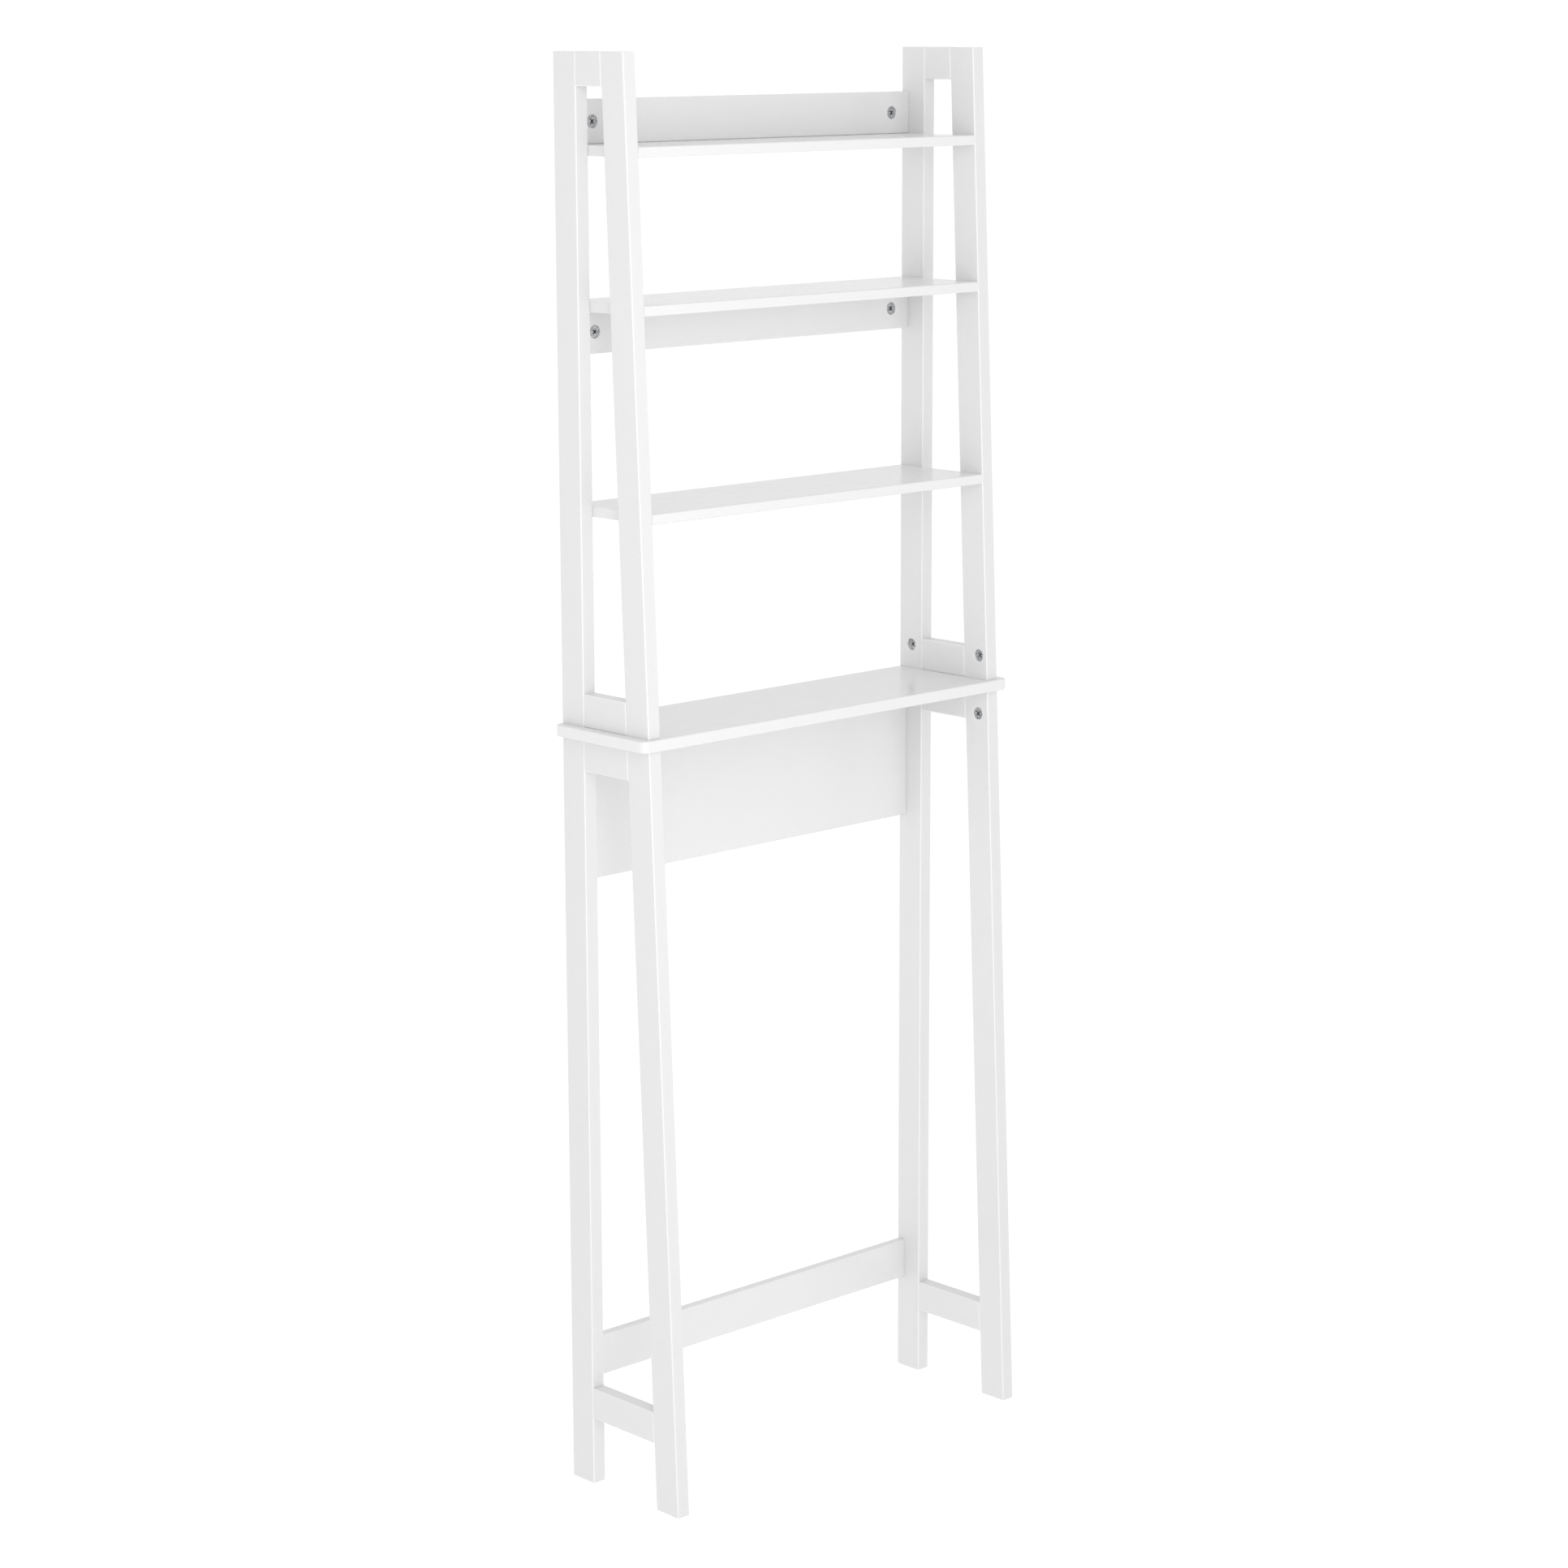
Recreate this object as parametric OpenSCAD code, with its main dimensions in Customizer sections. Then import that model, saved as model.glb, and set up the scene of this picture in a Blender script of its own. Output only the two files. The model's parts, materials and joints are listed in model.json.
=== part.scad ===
// Ladder shelf that stands over a toilet: two slanted side frames in two tiers, a deck between
// the tiers, three shelves, two back rails above, a back panel and a back rail below.
// The boards are held by turning cam locks, cam bolts and wooden dowels.
// X runs across the width, +Y points to the wall, +Z points up.
// The origin is on the floor, at the middle of the footprint.

/* [Overall] */
// Width across the outer faces of the side frames
frame_w = 576; // [440:2:760]
// Depth of a side frame at the top, from the rear face to the front face
top_depth = 120; // [100:1:160]
// Depth of a side frame at the floor
foot_depth = 191; // [150:1:260]
// Height from the floor to the top face of the deck
deck_top = 931; // [700:1:1150]

/* [Bays] */
// Clear height between the deck and the bottom shelf
bottom_bay_h = 243.5; // [150:0.5:400]
// Clear height between the bottom shelf and the middle shelf
middle_bay_h = 222; // [120:0.5:400]
// Clear height between the middle shelf and the top shelf
upper_bay_h = 163.5; // [80:0.5:400]
// Height of the side frames above the top shelf
top_stand_h = 104; // [98:0.5:250]

/* [Frame stock] */
// Width of the posts seen from the side, and height of the crossbars
bar_w = 38.5; // [36:0.5:46.5]
// Thickness of the posts and crossbars
bar_t = 18; // [15:0.5:25]
// Radius of the eased long edges of posts and crossbars
edge_r = 1.5; // [0.5:0.1:2.5]
// Height of the underside of the lowest crossbar above the floor
foot_gap = 82.5; // [30:0.5:200]

/* [Boards] */
// Thickness of the deck
deck_t = 14; // [12:0.5:22]
// How far the deck stands out beyond each side frame
deck_side_overhang = 13; // [2:0.5:40]
// How far the deck stands out in front of the front posts
deck_front_overhang = 6.5; // [1:0.5:30]
// Corner radius of the deck, seen from above
deck_corner_r = 9; // [1.5:0.5:25]
// Thickness of the shelves
shelf_t = 12; // [10:0.5:20]
// Radius of the eased front and rear edges of the shelves
shelf_edge_r = 1.5; // [0.5:0.1:4]
// Thickness of the back rails and the back panel
rail_t = 12; // [10:0.5:18]
// Height of each back rail
rail_h = 50.5; // [42:0.5:60]
// Height of the underside of the lower back rail above the floor
lower_rail_z = 122; // [20:0.5:300]
// Height of the back panel below the deck
panel_h = 176.5; // [100:0.5:300]

/* [Cam locks] */
// Diameter of the hole that a cam lock turns in
cam_hole_d = 15; // [12:0.1:18]
// Distance from a cam lock's centre to the joint that it pulls tight
cam_setback = 29.5; // [24:0.5:34]
// Length of a cam bolt's thread in the second board
thread_len = 11; // [7:0.5:12]
// Distance from the front face of a front post to the through bolt, at the deck
front_bolt_inset = 15.5; // [13:0.5:22]
// Distance from the rear face of a rear post to the deck bolt
rear_bolt_inset = 20; // [17:0.5:22]
// Distance from the middle of the panel to each cam lock along its top edge
panel_cam_x = 165; // [60:1:180]

/* [Dowels] */
// Diameter of the wooden dowels
dowel_d = 6; // [5:0.5:6]
// Depth of a frame dowel in the post
dowel_in_post = 9; // [6:0.5:10]
// Depth of a dowel in a crossbar, shelf or rail
dowel_in_bar = 10; // [7:0.5:11]
// Distance between the two dowels of one joint
dowel_pitch = 20; // [18:0.5:22]
// Distance between the two deck dowels of one side frame
deck_dowel_pitch = 28; // [14:1:30]

/* [Hidden] */

$fn = 64;

LEFT = -1;
RIGHT = 1;

paint_white = [0.95, 0.95, 0.94];
zinc = [0.72, 0.73, 0.74];
steel = [0.62, 0.63, 0.65];
beech = [0.86, 0.72, 0.52];

// Clearances
cam_gap = 0.08;        // round the cam lock in its hole
cam_floor_gap = 0.3;   // under the cam lock in its hole
head_gap = 0.35;       // round the bolt head and neck inside the cam lock
thread_gap = 0.05;     // round the thread
dowel_gap = 0.05;      // round a dowel
dowel_end_gap = 0.5;   // past each end of a dowel

// Dowel places
rail_dowel_edge = 9;       // from a rail's long edges to its dowels
panel_dowel_drop = 58.8;   // from the deck's underside to the panel's end dowels
rear_dowel_offset = 10;    // from the deck bolt to the dowel behind it, along Y
dowel_in_deck = 6;         // depth of a rear post's dowel in the deck

// Bolt
head_r = 3.2;
head_len = 3;
neck_past_hole = 0.7;  // length of the thin neck beyond the wall of the cam lock's hole
neck_r = 2.2;
shank_r = 2.9;
thread_r = 2.5;

// Cam lock
cam_r = cam_hole_d / 2 - cam_gap;
cam_recess = 0.4;      // cam lock's face below the face of a rail or a lower post
post_cam_recess = 3;   // the same in the upper posts
cam_floor_t = 0.8;
cam_wall_t = 1.2;
cam_turn = 180;
cavity_r = cam_r - cam_wall_t;
cavity_half = head_r + head_gap;
slot_half = neck_r + head_gap;
cross_share = 0.6;     // depth of the driver recess, as a share of the cam lock's face
cross_w = 1.6;
cross_margin = 3.2;    // from the ends of the cross to the hole's wall
cross_len = cam_hole_d - 2 * cross_margin;
arrow_w = 3.2;
slot_play = 3;         // degrees that the slot runs on past the bolt's neck at each end

// Places along the bolt, from the cam lock's centre: the head fills the cavity's round wall
head_end = sqrt(pow(cavity_r - head_gap, 2) - pow(head_r, 2));
head_start = head_end - head_len;
neck_end = cam_hole_d / 2 + neck_past_hole;

// Heights
deck_bottom = deck_top - deck_t;
bottom_shelf_top = deck_top + bottom_bay_h + shelf_t;
middle_shelf_top = bottom_shelf_top + middle_bay_h + shelf_t;
top_shelf_top = middle_shelf_top + upper_bay_h + shelf_t;
total_h = top_shelf_top + top_stand_h;
top_rail_z = top_shelf_top;
middle_rail_z = middle_shelf_top - shelf_t - rail_h;
panel_z = deck_bottom - panel_h;

// Widths and depths
outer_x = frame_w / 2;
inner_x = outer_x - bar_t;
mid_x = outer_x - bar_t / 2;
rear_y = foot_depth / 2;
lean = atan((foot_depth - top_depth) / total_h);
post_front_y = rear_y - bar_w;
front_bolt_y = front_y((deck_top + deck_bottom) / 2) + front_bolt_inset;
rear_bolt_y = rear_y - rear_bolt_inset;
deck_front_y = front_y(deck_top) - deck_front_overhang;
rail_y = rear_y - rail_t;
past = 1;              // how far a cutting solid runs past the face that it cuts

// Front face of the front posts, and their rear face, at height z
function front_y(z) = rear_y - top_depth - (total_h - z) * tan(lean);
function front_post_back_y(z) = front_y(z) + bar_w;

// Depth of a cam lock's lowest point below the board's face
function cam_depth(bolt_depth) = bolt_depth + cavity_half + cam_floor_t;

// A cam lock's station: the centre of its hole in the board's face, the turn of that face, the
// turn of its bolt about the face's normal, the depth of the bolt's axis below the face, and the
// depth of the cam lock's own face
function facing_inwards(side) = side == RIGHT ? [0, -90, 0] : [0, 90, 0];
function along_x(side) = side == RIGHT ? 0 : 180;
function rail_station(side, z) =
    [[side * (inner_x - cam_setback), rail_y, z], [90, 0, 0], along_x(side), rail_t / 2, cam_recess];
function back_station(side, z) =
    [[side * (inner_x - cam_setback), rear_y, z], [-90, 0, 0], along_x(side), rail_t / 2,
     cam_recess];
function panel_deck_station(side) =
    [[side * panel_cam_x, rear_y, deck_bottom - cam_setback], [-90, 0, 0], -90, rail_t / 2,
     cam_recess];
function upper_post_station(side, y) =
    [[side * inner_x, y, deck_top + cam_setback], facing_inwards(side),
     side == RIGHT ? 180 : 0, bar_t / 2, post_cam_recess];
function lower_post_station(side, y) =
    [[side * inner_x, y, deck_bottom - cam_setback], facing_inwards(side),
     side == RIGHT ? 0 : 180, bar_t / 2, cam_recess];

function top_rail_station(side) = rail_station(side, top_rail_z + rail_h / 2);
function middle_rail_station(side) = rail_station(side, middle_rail_z + rail_h / 2);
function lower_rail_station(side) = back_station(side, lower_rail_z + rail_h / 2);
function panel_end_station(side) = back_station(side, panel_z + cam_setback);
function rear_post_station(side) = upper_post_station(side, rear_bolt_y);
function front_post_station(side) = upper_post_station(side, front_bolt_y);
function front_lower_station(side) = lower_post_station(side, front_bolt_y);

// Heights of the two dowels in a crossbar's end, from the crossbar's underside
function dowel_heights(z) = [z + bar_w / 2 - dowel_pitch / 2, z + bar_w / 2 + dowel_pitch / 2];

module on_side(side) {
    if (side == RIGHT)
        children();
    else
        mirror([1, 0, 0]) children();
}

module place(station) {
    translate(station[0]) rotate(station[1]) rotate([0, 0, station[2]]) children();
}

// Rectangle from the origin with its four corners rounded
module eased_rect(w, h, r) {
    translate([r, 0]) square([w - 2 * r, h]);
    translate([0, r]) square([w, h - 2 * r]);
    for (x = [r, w - r], y = [r, h - r])
        translate([x, y]) circle(r);
}

// Cutting solids and dowels ---------------------------------------------------------------

// Round hole or rod along X, Y or Z
module rod_x(r, length) {
    rotate([0, 90, 0]) cylinder(r = r, h = length, $fn = 32);
}

module rod_y(r, length) {
    rotate([-90, 0, 0]) cylinder(r = r, h = length, $fn = 32);
}

module rod_z(r, length) {
    cylinder(r = r, h = length, $fn = 32);
}

// Hole for the cam lock, and the channel from it to the joint for the bolt's head
module cam_bore(station) {
    depth = cam_depth(station[3]) + cam_floor_gap;
    place(station) {
        translate([0, 0, -depth]) cylinder(r = cam_hole_d / 2, h = depth + past);
        translate([0, 0, -station[3]]) rod_x(cavity_half, cam_setback + past);
    }
}

// Hole for the bolt's thread in the second board
module thread_bore(station) {
    place(station)
        translate([cam_setback - past, 0, -station[3]])
            rod_x(thread_r + thread_gap, thread_len + past + dowel_end_gap);
}

// Frame dowels of one crossbar: two in the rear post, two in the front post; gap 0 gives the dowels
module crossbar_dowels(z, gap, end_gap) {
    for (dz = dowel_heights(z)) {
        translate([mid_x, post_front_y - dowel_in_bar - end_gap, dz])
            rod_y(dowel_d / 2 + gap, dowel_in_bar + dowel_in_post + 2 * end_gap);
        translate([mid_x, front_post_back_y(dz) - dowel_in_post - end_gap, dz])
            rod_y(dowel_d / 2 + gap, dowel_in_bar + dowel_in_post + 2 * end_gap);
    }
}

// Dowels in one end of a shelf: one in the rear post, one in the front post
module shelf_end_dowels(shelf_top, gap, end_gap) {
    z = shelf_top - shelf_t / 2;
    for (y = [rear_y - bar_w / 2, front_y(z) + bar_w / 2])
        translate([inner_x - dowel_in_bar - end_gap, y, z])
            rod_x(dowel_d / 2 + gap, dowel_in_bar + dowel_in_post + 2 * end_gap);
}

// Two dowels in one end of a back rail
module rail_end_dowels(rail_z, gap, end_gap) {
    for (dz = [-1, 1] * (rail_h / 2 - rail_dowel_edge))
        translate([inner_x - dowel_in_bar - end_gap, rear_y - rail_t / 2, rail_z + rail_h / 2 + dz])
            rod_x(dowel_d / 2 + gap, dowel_in_bar + dowel_in_post + 2 * end_gap);
}

// One dowel in each end of the back panel, above the cam lock
module panel_end_dowel(gap, end_gap) {
    translate([inner_x - dowel_in_bar - end_gap, rear_y - rail_t / 2, deck_bottom - panel_dowel_drop])
        rod_x(dowel_d / 2 + gap, dowel_in_bar + dowel_in_post + 2 * end_gap);
}

// Two dowels that run through the deck and join the crossbars above and below it
module deck_through_dowels(gap, end_gap) {
    middle_y = (post_front_y + front_post_back_y(deck_bottom)) / 2;
    for (dy = [-1, 1] * deck_dowel_pitch / 2)
        translate([mid_x, middle_y + dy, deck_bottom - dowel_in_bar - end_gap])
            rod_z(dowel_d / 2 + gap, deck_t + 2 * dowel_in_bar + 2 * end_gap);
}

// Dowel between the lower rear post and the deck
module rear_post_dowel(gap, end_gap) {
    translate([mid_x, rear_bolt_y + rear_dowel_offset, deck_bottom - dowel_in_bar - end_gap])
        rod_z(dowel_d / 2 + gap, dowel_in_bar + dowel_in_deck + 2 * end_gap);
}

// Side frames ------------------------------------------------------------------------------

// Vertical rear post of the right frame between two heights
module rear_post_blank(z0, z1) {
    translate([inner_x, post_front_y, z0])
        linear_extrude(z1 - z0) eased_rect(bar_t, bar_w, edge_r);
}

// Slanted front post of the right frame, cut level at both heights
module front_post_blank(z0, z1) {
    intersection() {
        translate([inner_x, front_y(total_h), total_h])
            rotate([-lean, 0, 0])
                translate([0, 0, -2 * total_h])
                    linear_extrude(3 * total_h) eased_rect(bar_t, bar_w * cos(lean), edge_r);
        translate([0, -2 * foot_depth, z0]) cube([frame_w, 4 * foot_depth, z1 - z0]);
    }
}

// Crossbar of the right frame, from the rear post to the slanted back of the front post
module crossbar_blank(z) {
    difference() {
        translate([inner_x, post_front_y, z])
            rotate([90, 0, 0])
                linear_extrude(foot_depth) eased_rect(bar_t, bar_w, edge_r);
        translate([0, front_post_back_y(total_h), total_h])
            rotate([-lean, 0, 0])
                translate([0, -2 * foot_depth, -2 * total_h])
                    cube([frame_w, 2 * foot_depth, 3 * total_h]);
    }
}

module upper_rear_post(side) {
    color(paint_white) on_side(side) difference() {
        rear_post_blank(deck_top, total_h);
        crossbar_dowels(total_h - bar_w, dowel_gap, dowel_end_gap);
        crossbar_dowels(deck_top, dowel_gap, dowel_end_gap);
        for (shelf_top = [bottom_shelf_top, middle_shelf_top, top_shelf_top])
            shelf_end_dowels(shelf_top, dowel_gap, dowel_end_gap);
        for (rail_z = [middle_rail_z, top_rail_z])
            rail_end_dowels(rail_z, dowel_gap, dowel_end_gap);
        thread_bore(top_rail_station(RIGHT));
        thread_bore(middle_rail_station(RIGHT));
        cam_bore(rear_post_station(RIGHT));
    }
}

module upper_front_post(side) {
    color(paint_white) on_side(side) difference() {
        front_post_blank(deck_top, total_h);
        crossbar_dowels(total_h - bar_w, dowel_gap, dowel_end_gap);
        crossbar_dowels(deck_top, dowel_gap, dowel_end_gap);
        for (shelf_top = [bottom_shelf_top, middle_shelf_top, top_shelf_top])
            shelf_end_dowels(shelf_top, dowel_gap, dowel_end_gap);
        cam_bore(front_post_station(RIGHT));
    }
}

module upper_top_crossbar(side) {
    color(paint_white) on_side(side) difference() {
        crossbar_blank(total_h - bar_w);
        crossbar_dowels(total_h - bar_w, dowel_gap, dowel_end_gap);
    }
}

module upper_bottom_crossbar(side) {
    color(paint_white) on_side(side) difference() {
        crossbar_blank(deck_top);
        crossbar_dowels(deck_top, dowel_gap, dowel_end_gap);
        deck_through_dowels(dowel_gap, dowel_end_gap);
    }
}

module lower_rear_post(side) {
    color(paint_white) on_side(side) difference() {
        rear_post_blank(0, deck_bottom);
        crossbar_dowels(deck_bottom - bar_w, dowel_gap, dowel_end_gap);
        crossbar_dowels(foot_gap, dowel_gap, dowel_end_gap);
        rail_end_dowels(lower_rail_z, dowel_gap, dowel_end_gap);
        panel_end_dowel(dowel_gap, dowel_end_gap);
        rear_post_dowel(dowel_gap, dowel_end_gap);
        thread_bore(lower_rail_station(RIGHT));
        thread_bore(panel_end_station(RIGHT));
    }
}

module lower_front_post(side) {
    color(paint_white) on_side(side) difference() {
        front_post_blank(0, deck_bottom);
        crossbar_dowels(deck_bottom - bar_w, dowel_gap, dowel_end_gap);
        crossbar_dowels(foot_gap, dowel_gap, dowel_end_gap);
        cam_bore(front_lower_station(RIGHT));
    }
}

module lower_top_crossbar(side) {
    color(paint_white) on_side(side) difference() {
        crossbar_blank(deck_bottom - bar_w);
        crossbar_dowels(deck_bottom - bar_w, dowel_gap, dowel_end_gap);
        deck_through_dowels(dowel_gap, dowel_end_gap);
    }
}

module lower_bottom_crossbar(side) {
    color(paint_white) on_side(side) difference() {
        crossbar_blank(foot_gap);
        crossbar_dowels(foot_gap, dowel_gap, dowel_end_gap);
    }
}

// Boards -----------------------------------------------------------------------------------

// Deck between the upper and the lower frames
module deck() {
    w = frame_w + 2 * deck_side_overhang;
    color(paint_white) difference() {
        translate([-w / 2, deck_front_y, deck_bottom])
            linear_extrude(deck_t) eased_rect(w, rear_y - deck_front_y, deck_corner_r);
        for (side = [LEFT, RIGHT]) on_side(side) {
            deck_through_dowels(dowel_gap, dowel_end_gap);
            rear_post_dowel(dowel_gap, dowel_end_gap);
            thread_bore(rear_post_station(RIGHT));
            thread_bore(panel_deck_station(RIGHT));
            translate([mid_x, front_bolt_y, deck_bottom - past])
                rod_z(cavity_half, deck_t + 2 * past);
        }
    }
}

// Shelf between the inner faces of the upper frames, flush with the rear and front posts
module shelf(shelf_top) {
    depth = rear_y - front_y(shelf_top - shelf_t / 2);
    color(paint_white) difference() {
        translate([-inner_x, rear_y - depth, shelf_top - shelf_t])
            rotate([90, 0, 90])
                linear_extrude(2 * inner_x) eased_rect(depth, shelf_t, shelf_edge_r);
        for (side = [LEFT, RIGHT]) on_side(side)
            shelf_end_dowels(shelf_top, dowel_gap, dowel_end_gap);
    }
}

// Upright board between the rear posts, with its rear face in the plane of the posts
module back_board(z, h) {
    translate([-inner_x, rail_y, z])
        rotate([90, 0, 90])
            linear_extrude(2 * inner_x) eased_rect(rail_t, h, shelf_edge_r);
}

module top_rail() {
    color(paint_white) difference() {
        back_board(top_rail_z, rail_h);
        for (side = [LEFT, RIGHT]) {
            cam_bore(top_rail_station(side));
            on_side(side) rail_end_dowels(top_rail_z, dowel_gap, dowel_end_gap);
        }
    }
}

module middle_rail() {
    color(paint_white) difference() {
        back_board(middle_rail_z, rail_h);
        for (side = [LEFT, RIGHT]) {
            cam_bore(middle_rail_station(side));
            on_side(side) rail_end_dowels(middle_rail_z, dowel_gap, dowel_end_gap);
        }
    }
}

module lower_rail() {
    color(paint_white) difference() {
        back_board(lower_rail_z, rail_h);
        for (side = [LEFT, RIGHT]) {
            cam_bore(lower_rail_station(side));
            on_side(side) rail_end_dowels(lower_rail_z, dowel_gap, dowel_end_gap);
        }
    }
}

module back_panel() {
    color(paint_white) difference() {
        back_board(panel_z, panel_h);
        for (side = [LEFT, RIGHT]) {
            cam_bore(panel_end_station(side));
            cam_bore(panel_deck_station(side));
            on_side(side) panel_end_dowel(dowel_gap, dowel_end_gap);
        }
    }
}

// Cam locks --------------------------------------------------------------------------------

// Cam lock in the locked position. Its face looks along +Z, and the bolt comes from +X.
// The slot round its wall lets it turn anticlockwise by cam_turn, until the round mouth
// meets the bolt and the bolt's head can leave.
module cam_lock(station) {
    bolt_depth = station[3];
    recess = station[4];
    slot_margin = asin(slot_half / cavity_r) + slot_play;
    face_t = bolt_depth - cavity_half - recess;
    cross_depth = face_t * cross_share;
    color(zinc) place(station) difference() {
        translate([0, 0, -cam_depth(bolt_depth)])
            cylinder(r = cam_r, h = cam_depth(bolt_depth) - recess);
        translate([0, 0, -bolt_depth - cavity_half])
            cylinder(r = cavity_r, h = 2 * cavity_half);
        translate([0, 0, -bolt_depth - slot_half])
            linear_extrude(2 * slot_half)
                polygon(slot_sector(-cam_turn - slot_margin, slot_margin, 2 * cam_r));
        translate([-cam_r - past, 0, -bolt_depth])
            rod_x(cavity_half, cam_r + past);
        translate([0, 0, -recess - cross_depth])
            linear_extrude(cross_depth + past) driver_cross();
    }
}

// Outline of the slot: the centre and an arc of far points between two angles
function slot_sector(from, to, r) =
    concat([[0, 0]], [for (i = [0:6]) let (a = from + (to - from) * i / 6) [r * cos(a), r * sin(a)]]);

// Cross recess with diagonal arms, and an arrow head towards the mouth
module driver_cross() {
    rotate(45) square([cross_len, cross_w], center = true);
    rotate(-45) square([cross_len, cross_w], center = true);
    polygon([[-cross_len / 2 - arrow_w / 2, 0], [-cross_len / 2, arrow_w / 2],
             [-cross_len / 2, -arrow_w / 2]]);
}

// Bolts and dowels -------------------------------------------------------------------------

// Outline of a bolt from its head to the given distance, as [radius, distance from the cam's centre]
function bolt_outline(end) = [
    [0, head_start], [head_r, head_start], [head_r, head_end], [neck_r, head_end],
    [neck_r, neck_end], [shank_r, neck_end], [shank_r, end]
];

// Bolt from a cam lock's station into the second board
module cam_bolt(station) {
    color(steel) place(station)
        translate([0, 0, -station[3]])
            rotate([0, 90, 0])
                rotate_extrude()
                    polygon(concat(bolt_outline(cam_setback), [
                        [thread_r, cam_setback], [thread_r, cam_setback + thread_len],
                        [0, cam_setback + thread_len]
                    ]));
}

// Bolt with a head at both ends, through the deck
module through_bolt(station) {
    middle = cam_setback + deck_t / 2;
    half = bolt_outline(middle);
    other_half = [for (i = [len(half) - 2:-1:0]) [half[i][0], 2 * middle - half[i][1]]];
    color(steel) place(station)
        translate([0, 0, -station[3]])
            rotate([0, 90, 0])
                rotate_extrude()
                    polygon(concat(half, other_half));
}

module rail_bolts() {
    for (side = [LEFT, RIGHT]) {
        cam_bolt(top_rail_station(side));
        cam_bolt(middle_rail_station(side));
        cam_bolt(lower_rail_station(side));
    }
}

module panel_bolts() {
    for (side = [LEFT, RIGHT]) {
        cam_bolt(panel_end_station(side));
        cam_bolt(panel_deck_station(side));
    }
}

module rear_deck_bolts() {
    for (side = [LEFT, RIGHT])
        cam_bolt(rear_post_station(side));
}

module front_deck_bolts() {
    for (side = [LEFT, RIGHT])
        through_bolt(front_post_station(side));
}

module frame_dowels() {
    color(beech) for (side = [LEFT, RIGHT]) on_side(side)
        for (z = [foot_gap, deck_bottom - bar_w, deck_top, total_h - bar_w])
            crossbar_dowels(z, 0, 0);
}

module shelf_dowels() {
    color(beech) for (side = [LEFT, RIGHT]) on_side(side)
        for (shelf_top = [bottom_shelf_top, middle_shelf_top, top_shelf_top])
            shelf_end_dowels(shelf_top, 0, 0);
}

module rail_dowels() {
    color(beech) for (side = [LEFT, RIGHT]) on_side(side) {
        for (rail_z = [lower_rail_z, middle_rail_z, top_rail_z])
            rail_end_dowels(rail_z, 0, 0);
        panel_end_dowel(0, 0);
    }
}

module deck_dowels() {
    color(beech) for (side = [LEFT, RIGHT]) on_side(side) {
        deck_through_dowels(0, 0);
        rear_post_dowel(0, 0);
    }
}

upper_rear_post(LEFT);  // left_upper_rear_post
upper_front_post(LEFT);  // left_upper_front_post
upper_top_crossbar(LEFT);  // left_upper_top_crossbar
upper_bottom_crossbar(LEFT);  // left_upper_bottom_crossbar
lower_rear_post(LEFT);  // left_lower_rear_post
lower_front_post(LEFT);  // left_lower_front_post
lower_top_crossbar(LEFT);  // left_lower_top_crossbar
lower_bottom_crossbar(LEFT);  // left_lower_bottom_crossbar
upper_rear_post(RIGHT);  // right_upper_rear_post
upper_front_post(RIGHT);  // right_upper_front_post
upper_top_crossbar(RIGHT);  // right_upper_top_crossbar
upper_bottom_crossbar(RIGHT);  // right_upper_bottom_crossbar
lower_rear_post(RIGHT);  // right_lower_rear_post
lower_front_post(RIGHT);  // right_lower_front_post
lower_top_crossbar(RIGHT);  // right_lower_top_crossbar
lower_bottom_crossbar(RIGHT);  // right_lower_bottom_crossbar
deck();
shelf(top_shelf_top);  // top_shelf
shelf(middle_shelf_top);  // middle_shelf
shelf(bottom_shelf_top);  // bottom_shelf
top_rail();
middle_rail();
lower_rail();
back_panel();
cam_lock(top_rail_station(LEFT));  // left_top_rail_cam
cam_lock(top_rail_station(RIGHT));  // right_top_rail_cam
cam_lock(middle_rail_station(LEFT));  // left_middle_rail_cam
cam_lock(middle_rail_station(RIGHT));  // right_middle_rail_cam
cam_lock(lower_rail_station(LEFT));  // left_lower_rail_cam
cam_lock(lower_rail_station(RIGHT));  // right_lower_rail_cam
cam_lock(panel_end_station(LEFT));  // left_panel_end_cam
cam_lock(panel_end_station(RIGHT));  // right_panel_end_cam
cam_lock(panel_deck_station(LEFT));  // left_panel_deck_cam
cam_lock(panel_deck_station(RIGHT));  // right_panel_deck_cam
cam_lock(rear_post_station(LEFT));  // left_rear_post_cam
cam_lock(rear_post_station(RIGHT));  // right_rear_post_cam
cam_lock(front_post_station(LEFT));  // left_front_post_cam
cam_lock(front_post_station(RIGHT));  // right_front_post_cam
cam_lock(front_lower_station(LEFT));  // left_lower_post_cam
cam_lock(front_lower_station(RIGHT));  // right_lower_post_cam
rail_bolts();
panel_bolts();
rear_deck_bolts();
front_deck_bolts();
frame_dowels();
shelf_dowels();
rail_dowels();
deck_dowels();
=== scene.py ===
"""Visual model of a white over-toilet ladder shelf.

Two slanted side frames in two tiers, a deck, three shelves, back rails and a back panel, held by
cam locks, bolts and dowels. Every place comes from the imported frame. Lengths are metres, apart
from those whose names end in mm.
"""
import json
import logging
import math
from dataclasses import dataclass, field
from enum import Enum
from typing import Iterable, Sequence

import bmesh
import bpy
from bmesh.types import BMesh
from bpy.types import ID, Material, Mesh, Node, NodeSocket, NodeTree, Object
from mathutils import Matrix, Vector


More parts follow.
